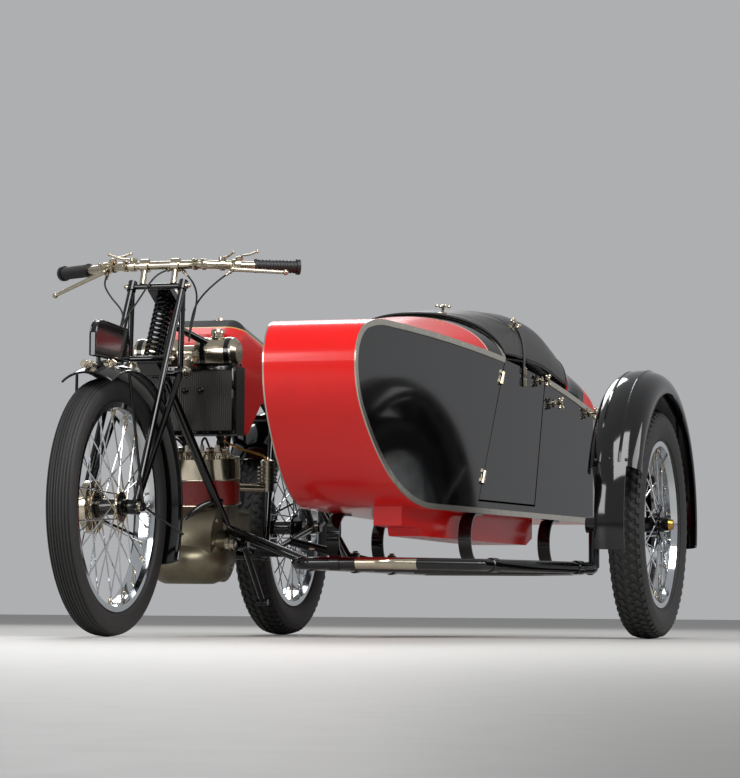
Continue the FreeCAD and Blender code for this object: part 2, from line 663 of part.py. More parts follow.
def frame_tubes():
    """Head tube, two down tubes, cradle, side tubes, seat lug and stays."""
    head_low = fork(HEAD_BOTTOM_S, STEERING_OFFSET, 0)
    head_high = fork(HEAD_TOP_S, STEERING_OFFSET, 0)
    seat = vec(SEAT_LUG_X, 0, SEAT_LUG_Z)
    parts = [rod(head_low, head_high, HEAD_RADIUS)]
    start_low = fork(HEAD_BOTTOM_S + 30, STEERING_OFFSET + 8, 0)
    start_high = fork(HEAD_TOP_S - 30, STEERING_OFFSET + 8, 0)
    for side in (-1.0, 1.0):
        knee = vec(CRADLE_X, side * CRADLE_Y, CRADLE_Z)
        parts.append(rod(start_low, knee, FRAME_TUBE_RADIUS))
        parts.append(ball(knee, 21.0))
        heel = vec(-985, side * (CRADLE_Y - 5), BASE_RAIL_Z)
        parts.append(rod(knee, heel, FRAME_TUBE_RADIUS))
        parts.append(ball(heel, 16.0))
        axle_end = vec(-WHEELBASE, side * CRADLE_Y, REAR_TYRE_RADIUS)
        parts.append(rod(heel, axle_end, STAY_RADIUS))
        parts.append(rod(axle_end - vec(0, 11, 0), axle_end + vec(0, 11, 0), 22.0))
        seat_side = vec(SEAT_LUG_X, side * 66, SEAT_LUG_Z)
        parts.append(rod(axle_end, seat_side, STAY_RADIUS))
        parts.append(rod(heel, seat_side, STAY_RADIUS))
        parts.append(ball(seat_side, 15.0))
        shoulder = vec(RADIATOR_X - RADIATOR_DEPTH - 15, side * SIDE_TUBE_Y, 800)
        parts.append(pipe([start_high, shoulder, seat_side], STAY_RADIUS, 40.0))
    pin = vec(CRADLE_X, CRADLE_Y, CRADLE_Z)
    parts.append(rod(pin, pin + vec(0, STAND_OUT + 12, 0), STAND_PIN_RADIUS))
    parts.append(rod(pin + vec(0, STAND_OUT + 10, 0), pin + vec(0, STAND_OUT + 14, 0), STAND_PIN_RADIUS + 5))
    parts.append(rod(vec(SEAT_LUG_X, -66, SEAT_LUG_Z), vec(SEAT_LUG_X, 66, SEAT_LUG_Z), 13.0))
    parts.append(rod(vec(-985, -CRADLE_Y, BASE_RAIL_Z), vec(-985, CRADLE_Y, BASE_RAIL_Z), 11.0))
    body = joined(parts)
    bore = rod(fork(HEAD_BOTTOM_S - 5, STEERING_OFFSET, 0), fork(HEAD_TOP_S + 5, STEERING_OFFSET, 0),
               STEM_RADIUS + RUNNING_GAP)
    reach = vec(0, CRADLE_Y + 30, 0)
    axle_hole = rod(vec(-WHEELBASE, 0, REAR_TYRE_RADIUS) - reach, vec(-WHEELBASE, 0, REAR_TYRE_RADIUS) + reach,
                    AXLE_RADIUS)
    return body.cut(bore).cut(axle_hole)


def lean_point(along, up, y):
    """A point in the engine's leaning frame, from the crank, along forward and up the cylinders."""
    x = CRANK_X + along * cos_deg(ENGINE_LEAN) + up * sin_deg(ENGINE_LEAN)
    z = CRANK_Z - along * sin_deg(ENGINE_LEAN) + up * cos_deg(ENGINE_LEAN)
    return vec(x, y, z)


def lean_block(low, high, half_depth, half_width, corner, back=0.0):
    """A round-cornered block along the cylinders, set back from their middle."""
    corners = ((-half_depth, -half_width), (half_depth, -half_width), (half_depth, half_width), (-half_depth, half_width))
    face = polygon_face([lean_point(along - back, low, across) for along, across in corners])
    block = face.extrude(lean_point(0, high, 0) - lean_point(0, low, 0))
    upright = [edge for edge in block.Edges if abs(edge.Length - (high - low)) < 0.01
               and abs(edge.tangentAt(edge.FirstParameter).y) < 0.01
               and abs(edge.tangentAt(edge.FirstParameter).dot(lean_point(0, 1, 0) - lean_point(0, 0, 0))) > 0.99]
    return block.makeFillet(corner, upright)


def engine_parts():
    """Crankcase, cylinder block under its band and plugs, and the cast exhaust box in front."""
    crank = vec(CRANK_X, 0, CRANK_Z)
    half = vec(0, CRANK_HALF, 0)
    case = joined([rod(crank - half, crank + half, CRANK_RADIUS),
                   lean_block(40, BLOCK_BOTTOM - 1, BLOCK_DEPTH / 2 - 4, BLOCK_HALF - 14, 30, BLOCK_BACK)])
    block = lean_block(BLOCK_BOTTOM, BLOCK_TOP, BLOCK_DEPTH / 2, BLOCK_HALF, BLOCK_CORNER, BLOCK_BACK)
    cap = joined([lean_block(BLOCK_TOP, BLOCK_TOP + HEAD_CAP_HEIGHT, BLOCK_DEPTH / 2 + BLOCK_SHEET,
                             BLOCK_HALF + BLOCK_SHEET, BLOCK_CORNER + BLOCK_SHEET, BLOCK_BACK)] + cap_fittings())
    box = exhaust_box()
    case = case.cut(box)
    block = block.cut(case)
    return {"crankcase": case, "cylinder_block": block, "cylinder_cap": cap, "exhaust_box": box}


def cap_fittings():
    """Sparking plugs, their bosses and a water union that stand on the cylinder cap."""
    top = BLOCK_TOP + HEAD_CAP_HEIGHT
    pieces = []
    for along in (-BLOCK_DEPTH * 0.24 - BLOCK_BACK, BLOCK_DEPTH * 0.24 - BLOCK_BACK):
        for y in (-BLOCK_HALF * 0.62, -BLOCK_HALF * 0.2, BLOCK_HALF * 0.2, BLOCK_HALF * 0.62):
            pieces.append(rod(lean_point(along, top - 4.0, y), lean_point(along, top + 9.0, y), PLUG_RADIUS + 4.0))
            if along > 0:
                pieces.append(rod(lean_point(along, top - 4.0, y), lean_point(along, top + 27.0, y), PLUG_RADIUS))
                pieces.append(rod(lean_point(along, top - 4.0, y), lean_point(along, top + 40.0, y), PLUG_RADIUS * 0.45))
    union = lean_point(-BLOCK_DEPTH * 0.24 - BLOCK_BACK, top, BLOCK_HALF * 0.42)
    pieces.append(rod(union - vec(0, 0, 4), union + vec(0, 0, 26), 15.0))
    return pieces


def exhaust_box():
    """Bulbous cast box in front of the crankcase, wide at the bottom and narrow at the ports, with a side boss."""
    def ring(z, x_front, x_rear, half):
        points = []
        for step in range(BOX_SIDES):
            turn = 360.0 * step / BOX_SIDES
            x = (x_front + x_rear) / 2.0 + (x_front - x_rear) / 2.0 * cos_deg(turn)
            points.append(vec(x, half * sin_deg(turn), z))
        curve = Part.BSplineCurve()
        curve.interpolate(points, True)
        return Part.Wire([curve.toShape()])

    rings = [ring(*row) for row in BOX_RINGS]
    boss = rod(vec(-600.0, 40.0, 262.0), vec(-600.0, 118.0, 262.0), 17.0)
    return joined([Part.makeLoft(rings, True, False), boss])


def transmission_parts():
    """Gearbox, magneto, carburettor and the chain guard behind the engine."""
    tray_z = BASE_RAIL_Z + 10.0
    tray = Part.makeBox(215, 2 * CRADLE_Y - 12, 6, vec(-985, -CRADLE_Y + 6, tray_z))
    gearbox = Part.makeBox(170, 120, 120, vec(-965, -60, tray_z + 6))
    gearbox = gearbox.makeFillet(20, gearbox.Edges)
    magneto = rod(vec(-852, -62, tray_z + 126.0 + 42.0), vec(-852, 62, tray_z + 126.0 + 42.0), 42)
    bowl = vec(-795, 168, 0)
    parts = [rod(bowl + vec(0, 0, 418), bowl + vec(0, 0, 502), 19), rod(bowl + vec(0, 0, 428), vec(-690, 60, 428), 12)]
    for z in (442, 453, 464, 475, 486):
        parts.append(rod(bowl + vec(0, 0, z), bowl + vec(0, 0, z + 4), 29))
    guard = Part.makeBox(440, 12, 92, vec(-1400, -89, 320))
    guard = guard.makeFillet(4, guard.Edges)
    return {"gearbox": gearbox, "magneto": magneto, "carburettor": joined(parts), "chain_guard": guard, "undertray": tray}


def tank_parts():
    """Fuel tank with its filler, radiator and the header tank above it."""
    outline = [(TANK_FRONT_X, TANK_BOTTOM - 90), (TANK_FRONT_X, TANK_TOP - 48), (TANK_FRONT_X - 90, TANK_TOP),
               (TANK_REAR_X + 40, TANK_TOP - 62), (TANK_REAR_X, TANK_TOP - 110), (TANK_REAR_X, TANK_BOTTOM + 20),
               (TANK_FRONT_X - 230, TANK_BOTTOM - 20), (TANK_FRONT_X - 110, TANK_BOTTOM - 120)]
    face = polygon_face([vec(x, -TANK_HALF, z) for x, z in outline])
    tank = face.extrude(vec(0, 2 * TANK_HALF, 0))
    lengthwise = [edge for edge in tank.Edges if abs(edge.tangentAt(edge.FirstParameter).y) < 0.01
                  and edge.BoundBox.ZMax > TANK_TOP - 112]
    tank = tank.makeFillet(TANK_CORNER, lengthwise)
    cap_x = -840.0
    cap_base = TANK_TOP - 62.0 * (-(cap_x) - 730.0) / 320.0
    cap = joined([rod(vec(cap_x, 0, cap_base - 2), vec(cap_x, 0, cap_base + 26), 24),
                  rod(vec(cap_x, 0, cap_base + 18), vec(cap_x, 0, cap_base + 30), 30)])
    cap = cap.cut(tank)
    radiator = Part.makeBox(RADIATOR_DEPTH, 2 * RADIATOR_HALF, RADIATOR_TOP - RADIATOR_BOTTOM,
                            vec(RADIATOR_X - RADIATOR_DEPTH, -RADIATOR_HALF, RADIATOR_BOTTOM))
    header_z = RADIATOR_TOP + HEADER_RADIUS - 4.0
    header_x = RADIATOR_X - RADIATOR_DEPTH / 2.0 + 8.0
    drums = [rod(vec(header_x, -HEADER_HALF + 12, header_z), vec(header_x, HEADER_HALF - 12, header_z), HEADER_NECK_RADIUS)]
    for side in (-1.0, 1.0):
        inner = vec(header_x, side * (HEADER_HALF - HEADER_DRUM), header_z)
        outer = vec(header_x, side * (HEADER_HALF - 12), header_z)
        drums.append(rod(inner, outer, HEADER_RADIUS))
        drums.append(Part.makeCone(HEADER_RADIUS, HEADER_RADIUS - 14, 12, outer, vec(0, side, 0)))
        drums.append(Part.makeCone(HEADER_RADIUS, HEADER_NECK_RADIUS, 14, inner, vec(0, -side, 0)))
    header = joined(drums).cut(radiator)
    return {"fuel_tank": tank, "filler_cap": cap, "radiator": radiator, "header_tank": header}


def saddle():
    """Sprung saddle pad, plain."""
    pad = Part.makeBox(290, 230, 60, vec(SEAT_LUG_X - 268, -115, SEAT_LUG_Z + 90))
    return pad.makeFillet(24, pad.Edges)


def saddle_springs():
    """Two springs and the nose post under the saddle."""
    top = SEAT_LUG_Z + 90 - REST_GAP
    springs = []
    for side in (-1.0, 1.0):
        foot = vec(SEAT_LUG_X - 190, side * 96, SEAT_LUG_Z + 16)
        springs.append(joined([rod(foot, vec(foot.x, foot.y, top), 17.0),
                               rod(foot + vec(0, 0, 6), vec(SEAT_LUG_X, side * 84, SEAT_LUG_Z), 8.0),
                               rod(vec(SEAT_LUG_X, side * 68, SEAT_LUG_Z), vec(SEAT_LUG_X, side * 90, SEAT_LUG_Z), 9.0),
                               rod(vec(SEAT_LUG_X, side * 84, SEAT_LUG_Z), vec(SEAT_LUG_X - 30, side * 60, top), 7.0)]))
    return Part.makeCompound(springs)


def rear_parts():
    """Rear mudguard with stays, saddle, footrests and the prop stand."""
    centre = vec(-WHEELBASE, 0, REAR_TYRE_RADIUS)
    guard = guard_sheet(centre, 372.0, 24.0, 74.0, 32.0, 192.0)
    edge = 372.0 - 24.0
    pieces = []
    for side in (-1.0, 1.0):
        eye_in = vec(0, side * (CRADLE_Y + 20.0 + REST_GAP), 0)
        eye_out = vec(0, side * (CRADLE_Y + 26.0), 0)
        rods = [rod(centre + eye_in, centre + eye_out, 14.0)]
        for angle in (125.0, 165.0):
            tip = centre + vec(edge * cos_deg(angle), side * (74.0 + 4.5), edge * sin_deg(angle))
            rods.append(rod(centre + (eye_in + eye_out) * 0.5, tip, 4.0))
        pieces.append(joined(rods))
    rests = []
    for side in (-1.0, 1.0):
        rests.append(rod(vec(-860, side * 98, 243), vec(-860, side * 215, 243), 11))
    return {
        "rear_mudguard": guard,
        "saddle": saddle(),
        "saddle_springs": saddle_springs(),
        "footrests": Part.makeCompound(rests),
        "rear_guard_stays": Part.makeCompound(pieces),
        "prop_stand": prop_stand(),
    }


def prop_stand():
    """Folding leg on a pin at the foot of the left down tube, stored trailing."""
    eye = vec(CRADLE_X, CRADLE_Y + STAND_OUT, CRADLE_Z)
    foot = eye + vec(-STAND_LENGTH * sin_deg(STAND_REST), 0, -STAND_LENGTH * cos_deg(STAND_REST))
    half = vec(0, 6, 0)
    leg = joined([rod(eye - half, eye + half, 15.0), rod(eye, foot, 8.0),
                  rod(foot - vec(0, 16, 0), foot + vec(0, 16, 0), 9.0)])
    return leg.cut(rod(eye - half * 2, eye + half * 2, STAND_PIN_RADIUS + RUNNING_GAP))


# Sidecar body

def profile_face(inset):
    """Side outline of the sidecar body, drawn in by an inset, run past the tail."""
    nose = (BODY_NOSE_X - inset, BODY_NOSE_Z)
    top, top_end = walk(nose, 90.0, BODY_TOP_ARCS, inset)
    under, (x, z) = walk(nose, -90.0, BODY_UNDER_ARCS, inset)
    under_end = (top_end[0], z)
    under.append(Part.LineSegment(vec(x, 0, z), vec(under_end[0], 0, z)).toShape())
    closing = Part.LineSegment(vec(top_end[0], 0, top_end[1]), vec(under_end[0], 0, z)).toShape()
    return Part.Face(Part.Wire(Part.__sortEdges__(top + under + [closing])))


def body_half(x, inset=0.0):
    """Half width of the body at a place along it."""
    if x > BODY_WIDE_X:
        return BODY_NOSE_HALF + BODY_FLARE * (BODY_NOSE_X - x) - inset
    widest = BODY_NOSE_HALF + BODY_FLARE * (BODY_NOSE_X - BODY_WIDE_X)
    reach = (BODY_WIDE_X - x) / (BODY_WIDE_X - BODY_TAIL_X)
    bulge = BODY_FLARE * (BODY_WIDE_X - BODY_TAIL_X) * reach * (1.0 - reach)
    return widest + bulge + (BODY_TAIL_HALF - widest) * reach - inset


def plan_prism(inset):
    """Tall prism on the body's plan outline, drawn in by an inset."""
    front = 120.0
    ahead = BODY_NOSE_HALF + BODY_FLARE * (BODY_NOSE_X - front) - inset
    tail = BODY_TAIL_X + inset
    middle_x = (BODY_WIDE_X + tail) / 2.0
    edges = []
    for side in (1.0, -1.0):
        def at(x, half):
            return vec(x, BODY_MID_Y + side * half, BODY_LOW)
        wide = at(BODY_WIDE_X, body_half(BODY_WIDE_X, inset))
        end = at(tail, body_half(BODY_TAIL_X, inset))
        edges.append(Part.LineSegment(at(front, ahead), wide).toShape())
        edges.append(Part.Arc(wide, at(middle_x, body_half(middle_x, inset)), end).toShape())
    tail_half = body_half(BODY_TAIL_X, inset)
    edges.append(Part.LineSegment(vec(front, BODY_MID_Y - ahead, BODY_LOW), vec(front, BODY_MID_Y + ahead, BODY_LOW)).toShape())
    edges.append(Part.LineSegment(vec(tail, BODY_MID_Y - tail_half, BODY_LOW), vec(tail, BODY_MID_Y + tail_half, BODY_LOW)).toShape())
    face = Part.Face(Part.Wire(Part.__sortEdges__(edges)))
    return face.extrude(vec(0, 0, BODY_HEIGHT))


def across(face, low, high):
    """A side outline given thickness between two places across the body."""
    placed = face.copy()
    placed.translate(vec(0, low, 0))
    return placed.extrude(vec(0, high - low, 0))


def body_block(profile_inset, plan_inset):
    """Solid body with its outline and its plan drawn in."""
    shape = across(profile_face(profile_inset), BODY_MID_Y - BODY_ROOM, BODY_MID_Y + BODY_ROOM)
    return shape.common(plan_prism(plan_inset))


def top_z(x):
    """Height of the body's top edge at a place along it, from the arcs of its outline."""
    place, height, angle = BODY_NOSE_X, BODY_NOSE_Z, 90.0
    for radius, turn in BODY_TOP_ARCS:
        centre_x = place - radius * sin_deg(angle)
        centre_z = height + radius * cos_deg(angle)
        angle += turn
        place = centre_x + radius * sin_deg(angle)
        height = centre_z - radius * cos_deg(angle)
        if x >= place:
            break
    return centre_z + math.sqrt(radius ** 2 - (x - centre_x) ** 2)


def crown(reach, fullness, steepness):
    """Share of a deck's rise at a share of its half width: full towards the sides and steep at the edge."""
    return (1.0 - abs(reach) ** fullness) ** steepness


def deck_section(station, thickness, lift):
    """Closed outline of a crowned deck across the body at one place, lifted off the panels' top edges."""
    x, rise, fullness, steepness = station
    base = top_z(x) + lift

    def curve(shrink, drop):
        half = body_half(x) - shrink
        points = []
        for step in range(DECK_STEPS + 1):
            reach = -sin_deg(90.0 - 180.0 * step / DECK_STEPS)
            points.append(vec(x, BODY_MID_Y + half * reach, base - drop + rise * crown(reach, fullness, steepness)))
        spline = Part.BSplineCurve()
        spline.interpolate(points)
        return spline.toShape(), points[0], points[-1]

    high, high_right, high_left = curve(0.0, 0.0)
    low, low_right, low_left = curve(thickness, thickness)
    return Part.Wire(Part.__sortEdges__([high, Part.LineSegment(high_left, low_left).toShape(), low,
                                         Part.LineSegment(low_right, high_right).toShape()]))


def deck(stations, thickness, lift=0.0):
    """A crowned deck lofted through stations of a place, a rise, a fullness and a steepness."""
    return Part.makeLoft([deck_section(station, thickness, lift) for station in stations], True, False)


def coaming_slab(ahead, behind):
    """Tall slanted slab between two planes parallel to the cockpit's front edge, at distances ahead and behind."""
    def edge_point(z, distance):
        return vec(COAMING_CROWN_X - COAMING_SLOPE * (COAMING_CROWN_Z - z) + distance, BODY_MID_Y - BODY_ROOM, z)

    low, high = 600.0, 1100.0
    corners = [edge_point(low, ahead), edge_point(high, ahead), edge_point(high, -behind), edge_point(low, -behind)]
    return polygon_face(corners).extrude(vec(0, 2 * BODY_ROOM, 0))


def door_prism(gap):
    """Slanted outline of the door, given thickness through the outer side panel."""
    top = 900.0
    rise = top - DOOR_BOTTOM_Z
    corners = [(DOOR_FRONT_X - DOOR_FRONT_LEAN * rise - gap, top), (DOOR_FRONT_X - gap, DOOR_BOTTOM_Z + gap),
               (DOOR_REAR_X + gap, DOOR_BOTTOM_Z + gap), (DOOR_REAR_X - DOOR_REAR_LEAN * rise + gap, top)]
    y = BODY_MID_Y + 60.0
    face = polygon_face([vec(x, y, z) for x, z in corners])
    return face.extrude(vec(0, 400.0, 0))


def hinge_line(z):
    """A point on the door's hinge axis, at a height on the slanted front edge of the doorway."""
    x = DOOR_FRONT_X - DOOR_FRONT_LEAN * (z - DOOR_BOTTOM_Z)
    return vec(x, BODY_MID_Y + body_half(x) + HINGE_PIN_RADIUS, z)


def hinge_leaf(low, high, reach):
    """A flat leaf on the panel's face from the hinge axis towards the door, or away from it."""
    line = (high - low).normalize()
    outward = vec(BODY_FLARE, 1.0, 0.0).normalize()
    along = line.cross(outward).normalize() * reach
    inner = outward * -HINGE_PIN_RADIUS
    face = polygon_face([low + inner, low + inner + along, low + along, low])
    return face.extrude(high - low)


def door_hinges():
    """Knuckles and pins of the two door hinges, on the panel's side and on the door's side."""
    fixed, moving, rooms = [], [], []
    for middle_z in (DOOR_BOTTOM_Z + HINGE_INSET, DOOR_TOP_Z - HINGE_INSET):
        centre = hinge_line(middle_z)
        line = (hinge_line(DOOR_TOP_Z) - hinge_line(DOOR_BOTTOM_Z)).normalize()
        half = HINGE_KNUCKLE / 2.0
        end = HINGE_KNUCKLE
        fixed.append(rod(centre - line * end, centre + line * end, HINGE_PIN_RADIUS))
        for side in (-1.0, 1.0):
            low = centre + line * (side * (half + REST_GAP))
            high = centre + line * (side * end)
            fixed.append(rod(low, high, HINGE_BARREL_RADIUS))
            fixed.append(hinge_leaf(low, high, -side * HINGE_LEAF))
        knuckle = rod(centre - line * half, centre + line * half, HINGE_BARREL_RADIUS)
        leaf = hinge_leaf(centre - line * half, centre + line * half, HINGE_LEAF)
        bore = rod(centre - line * end, centre + line * end, HINGE_PIN_RADIUS + RUNNING_GAP)
        moving.append(joined([knuckle, leaf]).cut(bore))
        rooms.append((rod(centre - line * (half + REST_GAP), centre + line * (half + REST_GAP),
                          HINGE_BARREL_RADIUS + REST_GAP),
                      rod(centre - line * (end + REST_GAP), centre + line * (end + REST_GAP),
                          HINGE_BARREL_RADIUS + REST_GAP)))
    return fixed, moving, rooms


def sidecar_body():
    """Panels, decks, door, beadings and cover of the sidecar body, and its seat."""
    core = plan_prism(BODY_WALL)
    outer = body_block(0.0, 0.0)
    inner = body_block(BODY_SHEET, -40.0)
    deck_room = Part.makeBox(DECK_FRONT_X - BODY_TAIL_X + 400.0, 2 * BODY_ROOM, 400.0,
                             vec(BODY_TAIL_X - 400.0, BODY_MID_Y - BODY_ROOM, 600.0))
    sides = outer.cut(core)
    tail_plane = BODY_TAIL_X + BODY_WALL
    tail_box = Part.makeBox(200.0, 2 * BODY_ROOM, BODY_HEIGHT, vec(tail_plane - 200.0, BODY_MID_Y - BODY_ROOM, BODY_LOW))
    left = Part.makeBox(2400.0, BODY_ROOM, BODY_HEIGHT, vec(tail_plane, BODY_MID_Y, BODY_LOW))
    right = Part.makeBox(2400.0, BODY_ROOM, BODY_HEIGHT, vec(tail_plane, BODY_MID_Y - BODY_ROOM, BODY_LOW))
    side_outer = sides.common(left)
    side_inner = sides.common(right)
    tail_panel = sides.common(tail_box)
    wrap = outer.common(core).cut(inner)
    wrap = wrap.cut(deck_room)
    doorway = door_prism(0.0)
    door = side_outer.common(door_prism(DOOR_GAP)).common(body_block(DOOR_GAP, 0.0))
    side_outer = side_outer.cut(doorway)
    fixed, moving, rooms = door_hinges()
    for knuckle_room, barrel_room in rooms:
        side_outer = side_outer.cut(knuckle_room)
        door = door.cut(barrel_room)
    side_outer = joined([side_outer] + fixed)
    door = joined([door] + moving)
    room = plan_prism(REST_GAP)
    scuttle = deck(SCUTTLE_STATIONS, DECK_SHEET).common(coaming_slab(1200.0, 0.0)).common(room)
    coaming = deck(SCUTTLE_STATIONS, DECK_SHEET + COAMING_PROUD, COAMING_PROUD)
    coaming = coaming.common(coaming_slab(-REST_GAP, REST_GAP + COAMING_WIDTH * COAMING_ACROSS)).cut(doorway)
    cover = deck(COVER_STATIONS, COVER_SHEET, COVER_LIFT)
    cover = cover.cut(coaming_slab(1200.0, 2 * REST_GAP + COAMING_WIDTH * COAMING_ACROSS))
    tail_deck = deck(TAIL_STATIONS, DECK_SHEET).common(room)
    ring = across(profile_face(0.0), BODY_MID_Y - BODY_ROOM, BODY_MID_Y + BODY_ROOM)
    ring = ring.cut(across(profile_face(BEADING_WIDTH), BODY_MID_Y - 421.0, BODY_MID_Y + 421.0))
    skin = plan_prism(-BEADING_PROUD).cut(plan_prism(0.0))
    length_room = Part.makeBox(2400.0, 2 * BODY_ROOM, BODY_HEIGHT,
                               vec(BODY_TAIL_X + 1.0, BODY_MID_Y - BODY_ROOM, BODY_LOW))
    strip = ring.common(skin).common(length_room)
    strip = strip.cut(door_prism(-4.0))
    beads = Part.makeCompound(strip.Solids)
    floor = floor_under() + BODY_SHEET + 2 * REST_GAP
    seat = Part.makeBox(360.0, 330.0, 90.0, vec(-1560.0 - REST_GAP, BODY_MID_Y - 165.0, floor))
    seat = seat.makeFillet(26.0, seat.Edges)
    back = Part.makeBox(70.0, 330.0, 300.0, vec(-1630.0 - 2 * REST_GAP, BODY_MID_Y - 165.0, floor))
    back = back.makeFillet(26.0, back.Edges)
    return {
        "side_panel_outer": side_outer,
        "side_panel_inner": side_inner,
        "tail_panel": tail_panel,
        "nose_and_floor": wrap,
        "door": door,
        "scuttle_deck": scuttle,
        "tail_deck": tail_deck,
        "cockpit_cover": cover,
        "coaming": coaming,
        "beading": beads,
        "seat_cushion": seat,
        "seat_back": back,
    }


def under_tray():
    """Shallow locker tray under the body floor."""
    top = floor_under() + 40.0
    low = 340.0
    outline = [(-470.0, top), (-470.0, low - 30), (-600.0, low - 34), (-612.0, low - 56), (-1430.0, low - 62),
               (-1480.0, low - 40), (-1480.0, top)]
    face = polygon_face([vec(x, BODY_MID_Y + 40.0, z) for x, z in outline])
    block = face.extrude(vec(0, BODY_ROOM, 0)).common(plan_prism(52.0))
    return block.cut(body_block(0.0, -60.0))


def chassis_tubes():
    """Sidecar chassis: two rails, cross tubes, the wheel bracket and arms to the machine."""
    z = CHASSIS_Z
    r = CHASSIS_RADIUS
    centre = side_centre()
    loop = pipe([vec(-1700, INNER_RAIL_Y, z), vec(-430, INNER_RAIL_Y, z), vec(-430, 640, z), vec(-640, 850, z),
                 vec(centre.x, SIDE_AXLE_BRACKET_Y - 14, z), vec(-1560, 900, z), vec(-1700, 760, z),
                 vec(-1700, INNER_RAIL_Y + 60, z)], r, 55.0)
    parts = [loop, rod(vec(-1700, INNER_RAIL_Y, z), vec(-1700, INNER_RAIL_Y + 80, z), r)]
    front_x, rear_x = (place - STRAP_FOOT / 2.0 for place in STRAP_PLACES)
    for x, outer in ((front_x, 958.0), (centre.x, SIDE_AXLE_BRACKET_Y - 30), (rear_x, 894.0)):
        parts.append(rod(vec(x, INNER_RAIL_Y, z), vec(x, outer, z), r - 3))
    low = vec(centre.x, SIDE_AXLE_BRACKET_Y - 12, z)
    high = vec(centre.x, SIDE_AXLE_BRACKET_Y - 12, centre.z)
    parts.append(rod(low, high, 16))
    parts.append(rod(vec(centre.x, SIDE_AXLE_BRACKET_Y - 34, centre.z), vec(centre.x, SIDE_AXLE_BRACKET_Y + 14, centre.z), 24))
    parts.append(rod(vec(-620, INNER_RAIL_Y, z), vec(-669, 91, 308), 13))
    parts.append(rod(vec(-1440, INNER_RAIL_Y, z), vec(-1197, CRADLE_Y - 3, 284), 13))
    parts.append(rod(vec(-1000, INNER_RAIL_Y - 6, z), vec(SEAT_LUG_X, 66, SEAT_LUG_Z), 11))
    tubes = joined(parts).cut(frame_tubes())
    return tubes.cut(rod(vec(centre.x, SIDE_AXLE_BRACKET_Y, centre.z), vec(centre.x, TRACK, centre.z), AXLE_RADIUS))


def body_springs():
    """Four C-shaped straps between the chassis and the body floor, open to the rear."""
    low = CHASSIS_Z + CHASSIS_RADIUS - 5.0
    high = floor_under()
    middle = (low + high) / 2.0
    outer = (high - low) / 2.0
    inner = outer - STRAP_SHEET
    straps = []
    for x in STRAP_PLACES:
        for side in (-1.0, 1.0):
            y = BODY_MID_Y + side * (body_half(x) - STRAP_INSET) - STRAP_WIDTH / 2.0
            rear = x - STRAP_FOOT
            edges = [
                Part.Arc(vec(x, y, high), vec(x + outer, y, middle), vec(x, y, low)).toShape(),
                Part.LineSegment(vec(x, y, low), vec(rear, y, low)).toShape(),
                Part.LineSegment(vec(rear, y, low), vec(rear, y, low + STRAP_SHEET)).toShape(),
                Part.LineSegment(vec(rear, y, low + STRAP_SHEET), vec(x, y, low + STRAP_SHEET)).toShape(),
                Part.Arc(vec(x, y, middle - inner), vec(x + inner, y, middle), vec(x, y, middle + inner)).toShape(),
                Part.LineSegment(vec(x, y, middle + inner), vec(rear, y, high - STRAP_SHEET)).toShape(),
                Part.LineSegment(vec(rear, y, high - STRAP_SHEET), vec(rear, y, high)).toShape(),
                Part.LineSegment(vec(rear, y, high), vec(x, y, high)).toShape(),
            ]
            straps.append(Part.Face(Part.Wire(Part.__sortEdges__(edges))).extrude(vec(0, STRAP_WIDTH, 0)))
    return Part.makeCompound(straps)


def floor_under():
    """Height just under the body floor behind the nose, where its springs and tray sit."""
    under_end = walk((BODY_NOSE_X, BODY_NOSE_Z), -90.0, BODY_UNDER_ARCS, 0.0)[1]
    return under_end[1] - REST_GAP


def guard_middle():
    """Middle of the side mudguard, a little inboard of its wheel."""
    return side_centre() - vec(0, SIDE_GUARD_INBOARD, 0)


def side_mudguard():
    """Domed mudguard with round shoulders and two ribs over the side wheel, and a narrow flap in front."""
    centre = guard_middle()
    crown_half = SIDE_GUARD_SHOULDER * SIDE_GUARD_HALF
    crown_drop = SIDE_GUARD_DROP * (1.0 - SIDE_GUARD_SHOULDER) * SHOULDER_FALL
    dome = guard_sheet(centre, SIDE_GUARD_RADIUS, SIDE_GUARD_DROP, SIDE_GUARD_HALF, SIDE_GUARD_START,
                       SIDE_GUARD_END, SIDE_GUARD_SHOULDER)
    flap = guard_sheet(centre, SIDE_GUARD_RADIUS, crown_drop, crown_half, SIDE_FLAP_END, SIDE_GUARD_START)
    ribs = []
    for y in SIDE_RIBS:
        height = SIDE_GUARD_RADIUS - crown_drop * (y / crown_half) ** 2
        ridge = polygon_face([vec(0, y - RIB_HALF, height - GUARD_SHEET / 2), vec(0, y, height + RIB_HEIGHT),
                              vec(0, y + RIB_HALF, height - GUARD_SHEET / 2)])
        ridge.rotate(vec(0, 0, 0), vec(0, 1, 0), 90.0 - SIDE_GUARD_START - RIB_INSET)
        rib = ridge.revolve(vec(0, 0, 0), vec(0, 1, 0), SIDE_GUARD_START + 2 * RIB_INSET - SIDE_GUARD_END)
        rib.translate(centre)
        ribs.append(rib)
    return joined([dome, flap] + ribs)


def side_guard_stays():
    """Stays from the wheel bracket to the inner edge of the side mudguard."""
    centre = side_centre()
    edge = SIDE_GUARD_RADIUS - SIDE_GUARD_DROP + 3.0
    start = vec(centre.x, SIDE_AXLE_BRACKET_Y, centre.z)
    parts = [rod(start, start + vec(0, 10, 0), 30)]
    for angle in (30.0, 90.0, BODY_LOW):
        tip = guard_middle() + vec(edge * cos_deg(angle), -SIDE_GUARD_HALF + 5, edge * sin_deg(angle))
        parts.append(rod(start + vec(0, 5, 0), tip, 6))
    return joined(parts)


def sidecar_running_gear():
    """Chassis, springs, tray and mudguard of the sidecar."""
    tubes = chassis_tubes()
    stays = side_guard_stays().cut(tubes)
    return {
        "chassis_tubes": tubes,
        "body_springs": body_springs(),
        "under_tray": under_tray(),
        "side_mudguard": side_mudguard(),
        "side_guard_stays": stays,
    }


